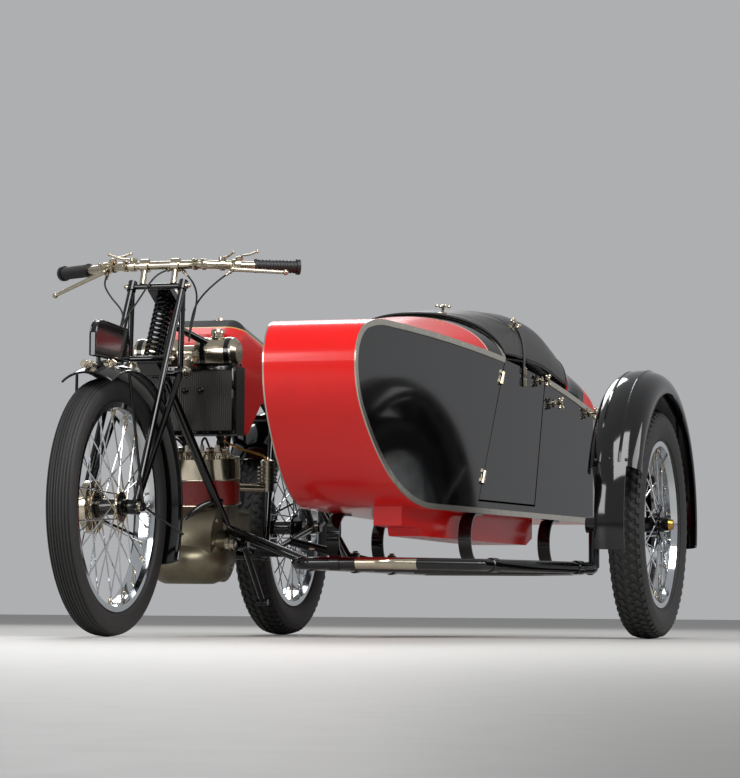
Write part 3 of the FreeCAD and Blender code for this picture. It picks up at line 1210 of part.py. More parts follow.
# Pieces that are cut to fit what passes through or beside them
SEATS = [
    ("exhaust_box", ("frame_tubes", "chassis_tubes")),
    ("crankcase", ("frame_tubes", "chassis_tubes", "exhaust_box")),
    ("cylinder_block", ("frame_tubes", "crankcase", "exhaust_box")),
    ("cylinder_cap", ("frame_tubes", "cylinder_block")),
    ("bar_clamps", ("fork_girder",)),
    ("fuel_tank", ("frame_tubes", "radiator")),
    ("header_tank", ("frame_tubes", "radiator", "fuel_tank")),
    ("rear_mudguard", ("frame_tubes", "saddle_springs")),
    ("saddle_springs", ("frame_tubes", "rear_mudguard", "chassis_tubes")),
    ("saddle", ("fuel_tank", "saddle_springs")),
    ("rear_guard_stays", ("rear_axle", "frame_tubes", "rear_mudguard")),
    ("front_guard_stays", ("front_axle", "fork_girder", "front_mudguard")),
    ("side_guard_stays", ("side_axle", "chassis_tubes", "side_mudguard")),
    ("front_mudguard", ("fork_girder",)),
    ("number_plate", ("front_mudguard",)),
    ("steering_yokes", ("fork_girder",)),
    ("carburettor", ("magneto", "cylinder_block", "crankcase")),
    ("gearbox", ("crankcase", "frame_tubes")),
    ("tail_deck", ("side_panel_outer", "side_panel_inner", "tail_panel")),
    ("scuttle_deck", ("side_panel_outer", "side_panel_inner", "nose_and_floor")),
    ("coaming", ("side_panel_outer", "side_panel_inner", "scuttle_deck")),
    ("chain_guard", ("frame_tubes",)),
    ("footrests", ("frame_tubes",)),
    ("undertray", ("frame_tubes", "crankcase")),
    ("under_tray", ("nose_and_floor", "side_panel_outer", "side_panel_inner", "body_springs")),
    ("body_springs", ("chassis_tubes", "nose_and_floor", "side_panel_outer", "side_panel_inner")),
]

def main():
    """Build every piece, move it to the middle of the whole box and write it."""
    os.makedirs("parts", exist_ok=True)
    pieces = {}
    for group in (front_wheel, rear_wheel, side_wheel, steering_parts, engine_parts, transmission_parts, tank_parts,
                  rear_parts, sidecar_body, sidecar_running_gear):
        pieces.update(group())
    pieces["frame_tubes"] = frame_tubes()
    for name, neighbours in SEATS:
        pieces[name] = pieces[name].cut([pieces[neighbour] for neighbour in neighbours])
    pieces["scuttle_deck"] = max(pieces["scuttle_deck"].Solids, key=lambda solid: solid.Volume)
    box = FreeCAD.BoundBox()
    for shape in pieces.values():
        box.add(shape.optimalBoundingBox(False))
    shift = vec(-(box.XMin + box.XMax) / 2.0, -(box.YMin + box.YMax) / 2.0, 0)
    print("shift", shift, "box", box)
    for name, shape in pieces.items():
        shape.translate(shift)
        print(name, shape.isValid(), len(shape.Solids), round(shape.Volume))
        shape.exportStep("parts/" + name + ".step")


main()
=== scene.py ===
"""Looks of a vintage motorcycle with a sidecar, built around its fixed frame of metal pieces.

Lengths are metres in the frame's own axes: X forward, Y to the rider's left, Z up from the floor.
"""

import json
import logging
import math
from dataclasses import dataclass, field
from enum import Enum

import bmesh
import bpy
import numpy as np
from mathutils import Matrix, Vector


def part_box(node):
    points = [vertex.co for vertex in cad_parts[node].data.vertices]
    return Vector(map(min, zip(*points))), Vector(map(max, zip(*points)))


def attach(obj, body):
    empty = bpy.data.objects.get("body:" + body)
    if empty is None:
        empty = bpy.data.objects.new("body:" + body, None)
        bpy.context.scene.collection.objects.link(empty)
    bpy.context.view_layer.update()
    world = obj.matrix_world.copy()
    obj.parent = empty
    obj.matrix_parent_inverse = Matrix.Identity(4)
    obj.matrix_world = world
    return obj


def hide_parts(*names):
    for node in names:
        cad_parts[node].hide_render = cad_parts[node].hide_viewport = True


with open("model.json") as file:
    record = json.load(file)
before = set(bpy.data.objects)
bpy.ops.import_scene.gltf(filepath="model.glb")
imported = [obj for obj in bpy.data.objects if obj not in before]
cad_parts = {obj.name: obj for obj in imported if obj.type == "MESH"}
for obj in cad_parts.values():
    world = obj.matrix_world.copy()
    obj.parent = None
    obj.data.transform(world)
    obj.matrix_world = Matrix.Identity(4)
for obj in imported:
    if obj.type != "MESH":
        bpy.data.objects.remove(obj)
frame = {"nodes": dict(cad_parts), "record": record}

LOG = logging.getLogger("sidecar_outfit")
Points = np.ndarray | list | tuple
Numbers = np.ndarray | float
MM = 0.001
MERGE = 1e-6
SHARP_DEG = 38.0
TOP_CUT = 0.8
ARC_POINTS = 90
STEPS_PER_SIDE = 6
UP = (0.0, 0.0, 1.0)
LEFT = (0.0, 1.0, 0.0)
AHEAD = (1.0, 0.0, 0.0)
SIDES = (-1.0, 1.0)
# Where a piece's Z lies along its wanted X, its X goes nearly ahead
NEARLY_PARALLEL = 0.05
NEARLY_AHEAD = (1.0, 0.0, 0.001)
# Sockets of the Mix node: its two inputs and its output, for colours and for numbers
MIX_COLOURS = (6, 7, 2)
MIX_NUMBERS = (2, 3, 0)
COAT_ROUGHNESS = 0.04


class Slot(Enum):
    """Names of the record's material slots that added pieces take."""

    BLACK = "gloss_black"
    RED = "red_paint"
    NICKEL = "nickel"
    CHROME = "chrome"
    CAST = "cast_aluminium"
    POLISHED = "polished_aluminium"
    TYRE = "tyre"
    GRIP = "grip_rubber"
    LEATHER = "leather"
    CLOTH = "cover_cloth"
    BRASS = "brass"
    RADIATOR = "radiator_black"


def linear(hex_colour: str) -> tuple[float, float, float, float]:
    """Turn an sRGB hex colour into linear light.

    Args:
        hex_colour: colour such as "#c41410".

    Returns:
        Linear red, green, blue and an alpha of one.
    """
    parts = [int(hex_colour[i:i + 2], 16) / 255.0 for i in (1, 3, 5)]
    light = [c / 12.92 if c <= 0.04045 else ((c + 0.055) / 1.055) ** 2.4 for c in parts]
    return (light[0], light[1], light[2], 1.0)


def add_node(tree: bpy.types.NodeTree, kind: str, settings: dict, links: dict) -> bpy.types.Node:
    """Add one shader node with its settings and its incoming links.

    Args:
        tree: node tree that gets the node.
        kind: Blender's name of the node type.
        settings: attributes of the node, or values of its sockets where a name is no attribute.
        links: socket name or number, to the output that feeds it.

    Returns:
        The new node.
    """
    node = tree.nodes.new(kind)
    for name, value in settings.items():
        if isinstance(name, str) and hasattr(node, name):
            setattr(node, name, value)
        else:
            node.inputs[name].default_value = value
    for name, output in links.items():
        tree.links.new(output, node.inputs[name])
    return node


@dataclass(frozen=True)
class Finish:
    """A surface finish: what the eye gets from one real material.

    Grain is a fine unevenness that breaks up gloss, at a real size. The colour wanders to the second one,
    and the roughness by as much as it is uneven, in clouds of the tint's size.
    """

    name: str
    colour: str
    metallic: float = 0.0
    roughness: float = 0.3
    uneven: float = 0.05
    coat: float = 0.0
    grain_mm: float = 1.0
    grain_depth_mm: float = 0.0
    grain_detail: float = 2.0
    second: str = ""
    tint_mm: float = 60.0
    tint_detail: float = 3.0
    sheen: float = 0.0

    def build(self, name: str = "", zones: tuple["Zone", ...] = ()) -> bpy.types.Material:
        """Make the material's nodes.

        Args:
            name: material name, or none for the finish's own.
            zones: parts of the piece that are painted or plated otherwise.

        Returns:
            The finished material.
        """
        material = bpy.data.materials.new(name or self.name)
        material.use_nodes = True
        tree = material.node_tree
        tree.nodes.clear()
        output = tree.nodes.new("ShaderNodeOutputMaterial")
        place_node = add_node(tree, "ShaderNodeTexCoord", {}, {})
        values = self.values(tree, place_node)
        for zone in zones:
            mask = zone.mask(tree, place_node)
            other = zone.finish.values(tree, place_node)
            values = {socket: blended(tree, mask, values[socket], other[socket]) for socket in values}
        constants = {socket: value for socket, value in values.items() if isinstance(value, float)}
        links = {socket: value for socket, value in values.items() if not isinstance(value, float)}
        body = add_node(tree, "ShaderNodeBsdfPrincipled",
                        {"Coat Roughness": COAT_ROUGHNESS, "Sheen Weight": self.sheen, **constants}, links)
        if self.grain_depth_mm:
            grain = add_node(tree, "ShaderNodeTexNoise",
                             {"Scale": 1.0 / (self.grain_mm * MM), "Detail": self.grain_detail},
                             {"Vector": place_node.outputs["Object"]})
            bump = add_node(tree, "ShaderNodeBump",
                            {"Distance": self.grain_depth_mm * MM, "Strength": 1.0},
                            {"Height": grain.outputs["Fac"]})
            tree.links.new(bump.outputs["Normal"], body.inputs["Normal"])
        tree.links.new(body.outputs["BSDF"], output.inputs["Surface"])
        return material

    def values(self, tree: bpy.types.NodeTree, place_node: bpy.types.Node) -> dict:
        """What the shader's sockets get: outputs where they vary and plain numbers where they do not.

        Args:
            tree: the material's node tree.
            place_node: its Texture Coordinate node.

        Returns:
            Socket name to output or number.
        """
        cloud = add_node(tree, "ShaderNodeTexNoise",
                         {"Scale": 1.0 / (self.tint_mm * MM), "Detail": self.tint_detail},
                         {"Vector": place_node.outputs["Object"]}).outputs["Fac"]
        least, most = max(self.roughness - self.uneven, 0.0), self.roughness + self.uneven
        rough = add_node(tree, "ShaderNodeMapRange", {"To Min": least, "To Max": most}, {"Value": cloud})
        first, second, mixed = MIX_COLOURS
        colours = {first: linear(self.colour), second: linear(self.second or self.colour)}
        colour = add_node(tree, "ShaderNodeMix", {"data_type": "RGBA", **colours}, {0: cloud})
        return {"Base Color": colour.outputs[mixed], "Roughness": rough.outputs["Result"],
                "Metallic": float(self.metallic), "Coat Weight": float(self.coat)}


Value = bpy.types.NodeSocket | float


def blended(tree: bpy.types.NodeTree, mask: bpy.types.NodeSocket, first: Value, second: Value) -> Value:
    """Mix two values by a mask, unless they are one number.

    Args:
        tree: the material's node tree.
        mask: zero for the first value and one for the second.
        first: output or number.
        second: output or number.

    Returns:
        Output, or the number that both are.
    """
    if isinstance(first, float) and first == second:
        return first
    colour = not isinstance(first, float) and first.type == "RGBA"
    *sockets, mixed = MIX_COLOURS if colour else MIX_NUMBERS
    settings, links = {"data_type": "RGBA" if colour else "FLOAT"}, {0: mask}
    for socket, value in zip(sockets, (first, second)):
        (settings if isinstance(value, float) else links)[socket] = value
    return add_node(tree, "ShaderNodeMix", settings, links).outputs[mixed]


class Measure(Enum):
    """What a zone's limits are measured by."""

    PLANE = "millimetres along a direction from a place"
    LINE = "millimetres from a line through a place"
    NORMAL = "how far the surface faces a direction"


@dataclass(frozen=True)
class Zone:
    """Part of a piece with a finish of its own, where a measure lies between two limits.

    A zone without a finish only narrows another one, which is then within it.
    """

    finish: Finish | None
    measure: Measure
    origin_mm: tuple[float, float, float]
    direction: tuple[float, float, float]
    low: float
    high: float
    within: tuple["Zone", ...] = ()

    def mask(self, tree: bpy.types.NodeTree, place_node: bpy.types.Node) -> bpy.types.NodeSocket:
        """One inside the zone and zero outside it.

        Args:
            tree: the material's node tree.
            place_node: its Texture Coordinate node.

        Returns:
            The mask's output.
        """
        line = tuple(unit(self.direction))
        kind, scale = "ShaderNodeVectorMath", MM
        if self.measure is Measure.NORMAL:
            subject, scale = place_node.outputs["Normal"], 1.0
        else:
            subject = add_node(tree, kind, {"operation": "SUBTRACT", 1: tuple(place(self.origin_mm))},
                               {0: place_node.outputs["Object"]}).outputs[0]
        if self.measure is Measure.LINE:
            cross = add_node(tree, kind, {"operation": "CROSS_PRODUCT", 1: line}, {0: subject}).outputs[0]
            value = add_node(tree, kind, {"operation": "LENGTH"}, {0: cross}).outputs["Value"]
        else:
            value = add_node(tree, kind, {"operation": "DOT_PRODUCT", 1: line}, {0: subject}).outputs["Value"]
        middle, reach = (self.high + self.low) / 2.0 * scale, (self.high - self.low) / 2.0 * scale
        limits = {"operation": "COMPARE", 1: middle, 2: reach}
        here = add_node(tree, "ShaderNodeMath", limits, {0: value}).outputs[0]
        for other in self.within:
            here = add_node(tree, "ShaderNodeMath", {"operation": "MULTIPLY"},
                            {0: here, 1: other.mask(tree, place_node)}).outputs[0]
        return here


# Stove enamel, many coats and polished: deep black with a faint orange peel
BLACK_ENAMEL = Finish("black_stove_enamel", "#040405", roughness=0.09, uneven=0.03, coat=0.15,
                      second="#070708", grain_mm=9.0, grain_depth_mm=0.01)
# Sprayed red enamel over sheet aluminium
RED_ENAMEL = Finish("red_enamel", "#da0a05", roughness=0.22, uneven=0.04, coat=0.1, second="#cd0805",
                    grain_mm=9.0, grain_depth_mm=0.012)
# Nickel plate over steel: warmer and softer than chrome
NICKEL_PLATE = Finish("nickel_plate", "#c9c0ae", metallic=1.0, roughness=0.2, uneven=0.07, second="#a89d88",
                      tint_mm=25.0, grain_mm=1.5, grain_depth_mm=0.01)
# Chromium plate on the rims and spokes
CHROME_PLATE = Finish("chromium_plate", "#dcdfe2", metallic=1.0, roughness=0.09, uneven=0.04,
                      second="#c4c8cc")
# Sand-cast aluminium, wire-brushed and dulled by oil
CAST_ALUMINIUM = Finish("sand_cast_aluminium", "#8f8874", metallic=1.0, roughness=0.42, uneven=0.08,
                        second="#6d6654", tint_mm=30.0, grain_mm=1.6, grain_depth_mm=0.12)
# Half-round aluminium moulding, polished by hand
POLISHED_MOULDING = Finish("polished_aluminium_moulding", "#d3cfc4", metallic=1.0, roughness=0.22,
                           uneven=0.06, second="#b9b4a6", tint_mm=20.0)
# Carcass rubber, greyed a little by age
TYRE_RUBBER = Finish("tyre_rubber", "#1b1b1b", roughness=0.62, uneven=0.08, second="#262524", tint_mm=15.0,
                     grain_mm=1.2, grain_depth_mm=0.06)
# Moulded grip rubber
GRIP_RUBBER = Finish("moulded_grip_rubber", "#101010", roughness=0.5, uneven=0.06, second="#1a1a1a",
                     tint_mm=10.0, grain_mm=1.0, grain_depth_mm=0.05)
# Saddle and seat hide
HIDE = Finish("black_hide", "#15110f", roughness=0.42, uneven=0.1, second="#221b17", tint_mm=12.0,
              grain_mm=1.8, grain_depth_mm=0.12, sheen=0.1)
# Rubbered duck of the cockpit cover
COVER_DUCK = Finish("rubbered_duck", "#0b0b0c", roughness=0.5, uneven=0.08, second="#111113", tint_mm=30.0,
                    grain_mm=0.8, grain_depth_mm=0.05, sheen=0.15)
# Turned and polished brass
TURNED_BRASS = Finish("turned_brass", "#c79a4b", metallic=1.0, roughness=0.22, uneven=0.06, second="#a87d38",
                      tint_mm=8.0)
# Radiator film: sprayed matt black, its colour lifted to dark grey, with lighter grey clouds at the fins'
# size as painted glints
RADIATOR_FILM_AND_GLINTS = Finish("radiator_film_and_painted_glints", "#1d1c1a", roughness=0.4, uneven=0.12, second="#3a3732", tint_mm=5.0)
# Braided sheath of cables and leads
CABLE_SHEATH = Finish("braided_cable_sheath", "#121110", roughness=0.55, uneven=0.05, second="#1d1a17",
                      tint_mm=6.0)
# Glazed porcelain of the sparking plugs
PORCELAIN = Finish("glazed_porcelain", "#e4dfd2", roughness=0.18, uneven=0.04, second="#d6cfbf", tint_mm=6.0)
# Gold line and rose line, laid by brush
GOLD_LINE = Finish("gold_line", "#c9a45c", roughness=0.3, uneven=0.05, second="#b98f42", tint_mm=6.0)
ROSE_LINE = Finish("rose_line", "#e2b9ae", roughness=0.25, uneven=0.05, second="#d8a79b", tint_mm=6.0)
# Dark red engine enamel on the cylinders
ENGINE_RED = Finish("engine_enamel", "#7c110c", roughness=0.3, uneven=0.08, second="#520c09", tint_mm=20.0)

FINISH_OF_SLOT = {
    Slot.BLACK: BLACK_ENAMEL,
    Slot.RED: RED_ENAMEL,
    Slot.NICKEL: NICKEL_PLATE,
    Slot.CHROME: CHROME_PLATE,
    Slot.CAST: CAST_ALUMINIUM,
    Slot.POLISHED: POLISHED_MOULDING,
    Slot.TYRE: TYRE_RUBBER,
    Slot.GRIP: GRIP_RUBBER,
    Slot.LEATHER: HIDE,
    Slot.CLOTH: COVER_DUCK,
    Slot.BRASS: TURNED_BRASS,
    Slot.RADIATOR: RADIATOR_FILM_AND_GLINTS,
}


@dataclass
class Studio:
    """Floor, backdrop, lamps and the camera.

    A lamp is its name, its centre, the point that it faces, its width and height, and its power in watts.
    """

    camera_place: tuple[float, float, float] = (8.47715, 2.717073, 0.0651)
    camera_yaw_deg: float = 17.721
    camera_pitch_deg: float = 4.177
    camera_roll_deg: float = 0.432
    camera_focal_px: float = 3084.15
    picture_height_px: float = 778.0
    sensor_mm: float = 36.0
    clip_end: float = 100.0
    floor_rings: tuple[float, ...] = (0.0, 2.0, 6.0, 60.0)
    floor_colour: str = "#b2b1ae"
    floor_second: str = "#acaba8"
    sky_colour: str = "#f2f3f5"
    sky_light: float = 0.36
    backdrop_colour: str = "#aeafb1"
    lamps: tuple[tuple, ...] = (
        ("key_box", (3.2, 1.6, 4.4), (0.0, 0.1, 0.4), (3.2, 3.2), 250.0),
        ("side_box", (-0.6, 5.5, 3.0), (-0.4, 0.6, 0.5), (4.0, 1.6), 90.0),
        ("front_box", (6.0, -3.2, 2.4), (0.6, -0.4, 0.5), (2.4, 2.6), 140.0),
        ("back_box", (-4.5, -2.5, 4.0), (-0.4, 0.0, 0.4), (3.0, 2.4), 130.0))

    def camera(self) -> None:
        """Camera at the photograph's place, near the floor and looking up a little."""
        yaw, pitch, roll = (math.radians(a) for a in
                            (self.camera_yaw_deg, self.camera_pitch_deg, self.camera_roll_deg))
        ahead = Vector((-math.cos(yaw) * math.cos(pitch), -math.sin(yaw) * math.cos(pitch), math.sin(pitch)))
        right = Vector((-math.sin(yaw), math.cos(yaw), 0.0))
        up = right.cross(ahead)
        turned_right = right * math.cos(roll) + up * math.sin(roll)
        turned_up = up * math.cos(roll) - right * math.sin(roll)
        data = bpy.data.cameras.new("camera")
        data.sensor_width = self.sensor_mm
        data.lens = self.sensor_mm * self.camera_focal_px / self.picture_height_px
        data.clip_end = self.clip_end
        camera = bpy.data.objects.new("camera", data)
        turn = Matrix((turned_right, turned_up, -ahead)).transposed()
        camera.matrix_world = Matrix.Translation(self.camera_place) @ turn.to_4x4()
        bpy.context.scene.collection.objects.link(camera)
        bpy.context.scene.camera = camera

    def floor(self) -> None:
        """Pale flat floor: rings of growing radius round the object."""
        radius, turn = np.array(self.floor_rings)[:, None], around(96)[None, :]
        floor = Shape().add(stacked(radius * np.cos(turn), radius * np.sin(turn), 0.0)).make("studio_floor")
        if floor.data.polygons[0].normal.z < 0.0:
            floor.data.flip_normals()
        material = Finish("studio_floor_paint", self.floor_colour, roughness=0.5, uneven=0.04,
                          second=self.floor_second).build()
        floor.data.materials.append(material)

    def lamp(self, name: str, spot: tuple[float, float, float], aim: tuple[float, float, float],
             size: tuple[float, float], watts: float) -> None:
        """One soft box that faces its aim.

        Args:
            name: lamp name.
            spot: its centre.
            aim: the point that it faces.
            size: width and height.
            watts: its power.
        """
        data = bpy.data.lights.new(name, "AREA")
        data.shape = "RECTANGLE"
        data.size, data.size_y = size
        data.energy = watts
        lamp = bpy.data.objects.new(name, data)
        lamp.visible_camera = False
        facing = (Vector(aim) - Vector(spot)).to_track_quat("-Z", "Y")
        lamp.matrix_world = Matrix.Translation(spot) @ facing.to_matrix().to_4x4()
        bpy.context.scene.collection.objects.link(lamp)

    def light(self) -> None:
        """World and lamps of a soft studio; the camera and reflections see the backdrop's own colour."""
        world = bpy.data.worlds.new("studio_world")
        world.use_nodes = True
        tree = world.node_tree
        tree.nodes.clear()
        output = tree.nodes.new("ShaderNodeOutputWorld")
        rays = tree.nodes.new("ShaderNodeLightPath")
        seen = add_node(tree, "ShaderNodeMath", {"operation": "MAXIMUM"},
                        {0: rays.outputs["Is Camera Ray"], 1: rays.outputs["Is Glossy Ray"]})
        plain = {"Color": linear(self.backdrop_colour), "Strength": 1.0}
        dim = {"Color": linear(self.sky_colour), "Strength": self.sky_light}
        sky, backdrop = (add_node(tree, "ShaderNodeBackground", settings, {}) for settings in (dim, plain))
        shaders = {0: seen.outputs[0], 1: sky.outputs[0], 2: backdrop.outputs[0]}
        mixed = add_node(tree, "ShaderNodeMixShader", {}, shaders)
        tree.links.new(mixed.outputs[0], output.inputs["Surface"])
        bpy.context.scene.world = world
        for lamp in self.lamps:
            self.lamp(*lamp)
        bpy.context.scene.view_settings.view_transform = "Standard"

    def build(self) -> None:
        """Set the studio up."""
        self.camera()
        self.floor()
        self.light()


def grid_faces(rows: int, columns: int, close_rows: bool, close_columns: bool) -> np.ndarray:
    """Quads of a grid of points, wrapped round where asked.

    Args:
        rows: points in the first direction.
        columns: points in the second direction.
        close_rows: join the last row to the first.
        close_columns: join the last column to the first.

    Returns:
        Array of quads.
    """
    i = np.arange(rows if close_rows else rows - 1)[:, None]
    j = np.arange(columns if close_columns else columns - 1)[None, :]
    i, j = np.broadcast_arrays(i, j)
    i_next, j_next = (i + 1) % rows, (j + 1) % columns
    corners = ((i, j), (i_next, j), (i_next, j_next), (i, j_next))
    return np.stack([row * columns + column for row, column in corners], axis=-1).reshape(-1, 4)


class Shape:
    """Grids of points that together make one piece, in metres."""

    def __init__(self) -> None:
        """Start with nothing."""
        self.points: list[np.ndarray] = []
        self.quads: list[np.ndarray] = []
        self.count = 0

    def add(self, grid: np.ndarray, close_rows: bool = False, close_columns: bool = True) -> "Shape":
        """Add one grid of rows by columns by 3.

        Args:
            grid: the points.
            close_rows: the first parameter goes all the way round.
            close_columns: the second parameter goes all the way round.

        Returns:
            This shape.
        """
        self.quads.append(grid_faces(*grid.shape[:2], close_rows, close_columns) + self.count)
        self.points.append(grid.reshape(-1, 3))
        self.count += len(self.points[-1])
        return self

    def stamp(self, grid: np.ndarray, spots: Points, out: Points, along: Points = UP) -> "Shape":
        """Repeat one grid, closed round its columns, at each of several places.

        Args:
            grid: the points in their own frame.
            spots: one place or several, in millimetres.
            out: where the grid's Z points, one direction or one for each place.
            along: what the grid's X lies near to, one direction or one for each place.

        Returns:
            This shape.
        """
        placings = frames(place(spots), out, along)
        points = grid.reshape(-1, 3)
        placed = np.einsum("mij,nj->mni", placings[:, :3, :3], points) + placings[:, None, :3, 3]
        offsets = self.count + np.arange(len(placings))[:, None, None] * len(points)
        self.quads.append((grid_faces(*grid.shape[:2], False, True)[None] + offsets).reshape(-1, 4))
        self.points.append(placed.reshape(-1, 3))
        self.count += len(self.points[-1])
        return self

    def run(self, path: Points, radius: float, sides: int = 8, reference: Points = LEFT,
            loop: bool = False, section: np.ndarray | None = None) -> "Shape":
        """Add a ring that is carried along a path.

        Args:
            path: N by 3 points in millimetres.
            radius: ring radius in millimetres.
            sides: points round the ring.
            reference: direction that the ring's sides keep to.
            loop: the path ends where it starts.
            section: K by 2 outline in millimetres in place of a round ring.

        Returns:
            This shape.
        """
        return self.add(carried(place(path), radius, sides, reference, section, loop), close_rows=loop)

    def make(self, name: str, sharp_deg: float = SHARP_DEG) -> bpy.types.Object:
        """Put the grids into one mesh, with poles merged and faces pointing outwards.

        Args:
            name: object name.
            sharp_deg: edges that turn by more than this stay crisp.

        Returns:
            The linked object.
        """
        mesh = bpy.data.meshes.new(name)
        mesh.from_pydata(np.concatenate(self.points).tolist(), [], np.concatenate(self.quads).tolist())
        mended = bmesh.new()
        mended.from_mesh(mesh)
        bmesh.ops.remove_doubles(mended, verts=mended.verts, dist=MERGE)
        bmesh.ops.dissolve_degenerate(mended, edges=mended.edges, dist=MERGE)
        bmesh.ops.recalc_face_normals(mended, faces=mended.faces)
        mended.to_mesh(mesh)
        mended.free()
        mesh.polygons.foreach_set("use_smooth", np.full(len(mesh.polygons), True))
        mesh.set_sharp_from_angle(angle=math.radians(sharp_deg))
        made = bpy.data.objects.new(name, mesh)
        bpy.context.scene.collection.objects.link(made)
        return made


def machine_origin() -> np.ndarray:
    """Place of the ground under the front axle, from which all sizes in millimetres are taken."""
    low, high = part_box("front_tyre")
    return np.array([(low[0] + high[0]) / 2.0, (low[1] + high[1]) / 2.0, 0.0])


ORIGIN = machine_origin()


def place(points: Points) -> np.ndarray:
    """Points in millimetres from the machine's origin, as metres in the frame."""
    return np.asarray(points, float) * MM + ORIGIN


def node_box(node: str) -> tuple[np.ndarray, np.ndarray]:
    """Lowest and highest corner of a metal piece, in millimetres from the machine's origin."""
    low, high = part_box(node)
    return (np.array(low) - ORIGIN) / MM, (np.array(high) - ORIGIN) / MM


def unit(vectors: Points) -> np.ndarray:
    """Vectors of length one."""
    vectors = np.asarray(vectors, float)
    return vectors / np.linalg.norm(vectors, axis=-1, keepdims=True)


def around(count: int) -> np.ndarray:
    """Angles of one full turn in equal steps."""
    return np.linspace(0.0, 2.0 * np.pi, count, endpoint=False)


def power(value: np.ndarray, exponent: float) -> np.ndarray:
    """Value raised to a power with its sign kept; below one, this squares a circle off."""
    return np.sign(value) * np.abs(value) ** exponent


def stacked(*parts: Numbers) -> np.ndarray:
    """Vectors from their parts, each spread to the common shape."""
    return np.stack(np.broadcast_arrays(*(np.asarray(part, float) for part in parts)), axis=-1)


def upright(turn: Numbers, radius: Numbers = 1.0, y: Numbers = 0.0) -> np.ndarray:
    """Point of a circle that stands along the machine: radius times cosine ahead and sine up, and y left."""
    return stacked(radius * np.cos(turn), y, radius * np.sin(turn))


def arc(centre: Points, radius: float, start_deg: float, end_deg: float, y: float = 0.0) -> np.ndarray:
    """Stretch of a standing circle in millimetres, with angles from ahead upwards."""
    return np.array(centre) + upright(np.radians(np.linspace(start_deg, end_deg, ARC_POINTS)), radius, y)


def outlined(corners: np.ndarray) -> np.ndarray:
    """Closed outline through corners, with equal steps along each of its straight sides."""
    return np.concatenate([np.linspace(a, b, STEPS_PER_SIDE, endpoint=False)
                           for a, b in zip(corners, np.roll(corners, -1, axis=0))])


def turned(profile: list[tuple[float, float]], sides: int = 24) -> np.ndarray:
    """Surface turned round its own Z: each row is a circle of one radius at one height, in millimetres.

    Args:
        profile: pairs of radius and height.
        sides: points round each circle.

    Returns:
        Grid in metres.
    """
    radius, height = np.array(profile, float).T[:, :, None] * MM
    turn = around(sides)[None, :]
    return stacked(radius * np.cos(turn), radius * np.sin(turn), height)


def slab(length: float, width: float, height: float, round_off: float) -> np.ndarray:
    """Small block with eight-cornered rings that shrink at its top, on its own Z, in millimetres.

    Args:
        length: along its X.
        width: along its Y.
        height: along its Z.
        round_off: how far its corners and its top edge are cut.

    Returns:
        Grid in metres.
    """
    half = np.array([length, width]) / 2.0
    cut = half - round_off
    quarter = np.array([(half[0], cut[1]), (cut[0], half[1])])
    ring = np.concatenate([quarter, quarter[::-1] * (-1.0, 1.0), -quarter, quarter[::-1] * (1.0, -1.0)])
    top_share = 1.0 - round_off / half.min() * TOP_CUT
    rows = [(0.0, 0.0), (1.0, 0.0), (1.0, height - round_off), (top_share, height), (0.0, height)]
    return np.stack([np.insert(ring * share, 2, level, axis=1) for share, level in rows]) * MM


def frames(places: np.ndarray, normals: Points, along: Points = UP) -> np.ndarray:
    """Placings whose Z follows the normals and whose X lies as near as it can to a direction.

    Args:
        places: one place or N of them, in metres.
        normals: one direction or N of them.
        along: one direction or N of them.

    Returns:
        Array of N by 4 by 4 matrices.
    """
    places = np.atleast_2d(places)
    z = np.broadcast_to(unit(np.atleast_2d(normals)), places.shape)
    y = np.cross(z, np.broadcast_to(np.asarray(along, float), places.shape))
    short = np.linalg.norm(y, axis=1) < NEARLY_PARALLEL
    y[short] = np.cross(z[short], NEARLY_AHEAD)
    y = unit(y)
    matrix = np.zeros((len(places), 4, 4))
    matrix[:, :3, 0], matrix[:, :3, 1], matrix[:, :3, 2] = np.cross(y, z), y, z
    matrix[:, :3, 3], matrix[:, 3, 3] = places, 1.0
    return matrix


def carried(path: np.ndarray, radius: float, sides: int, reference: Points,
            section: np.ndarray | None = None, loop: bool = False) -> np.ndarray:
    """Ring carried along a path: at each point it stands square to the path, and both ends close in a pole.

    Args:
        path: N by 3 points in metres.
        radius: ring radius in millimetres.
        sides: points round the ring.
        reference: direction that the ring's sides keep to.
        section: K by 2 outline in millimetres in place of a round ring.
        loop: the path ends where it starts, so it has no poles.

    Returns:
        Grid in metres.
    """
    if loop:
        tangent = np.roll(path, -1, axis=0) - np.roll(path, 1, axis=0)
    else:
        tangent = np.gradient(path, axis=0)
    tangent = unit(tangent)
    side = unit(np.cross(tangent, reference))
    up = np.cross(side, tangent)
    if section is None:
        turn = around(sides)
        section = radius * np.column_stack([np.cos(turn), np.sin(turn)])
    grid = path[:, None] + MM * (section[None, :, :1] * side[:, None] + section[None, :, 1:] * up[:, None])
    if loop:
        return grid
    ends = [np.broadcast_to(path[i], (1, len(section), 3)) for i in (0, -1)]
    return np.concatenate([ends[0], grid, ends[1]])


def smooth(points: Points, count: int) -> np.ndarray:
    """Curve through points: between two of them, the cubic whose slopes come from their neighbours.

    Args:
        points: N by K points.
        count: how many points the curve gets.

    Returns:
        Array of count by K points.
    """
    points = np.asarray(points, float)
    slopes = np.gradient(points, axis=0)
    u = np.linspace(0.0, len(points) - 1.0, count)
    i = np.minimum(u.astype(int), len(points) - 2)
    t = (u - i)[:, None]
    a, b, c, d = points[i], points[i + 1], slopes[i], slopes[i + 1]
    return ((2 * t ** 3 - 3 * t ** 2 + 1) * a + (t ** 3 - 2 * t ** 2 + t) * c
            + (3 * t ** 2 - 2 * t ** 3) * b + (t ** 3 - t ** 2) * d)


HEX_BOLT = turned([(0, 0), (8, 0), (8, 4.5), (7, 6), (0, 6)], 6)
ROUND_RIVET = turned([(0, 0), (5, 0), (4.4, 2), (2.6, 3.4), (0, 4)], 12)
ACORN_NUT = turned([(0, 0), (9, 0), (9, 6), (6.5, 8), (5.5, 12), (3, 15), (0, 16)], 12)

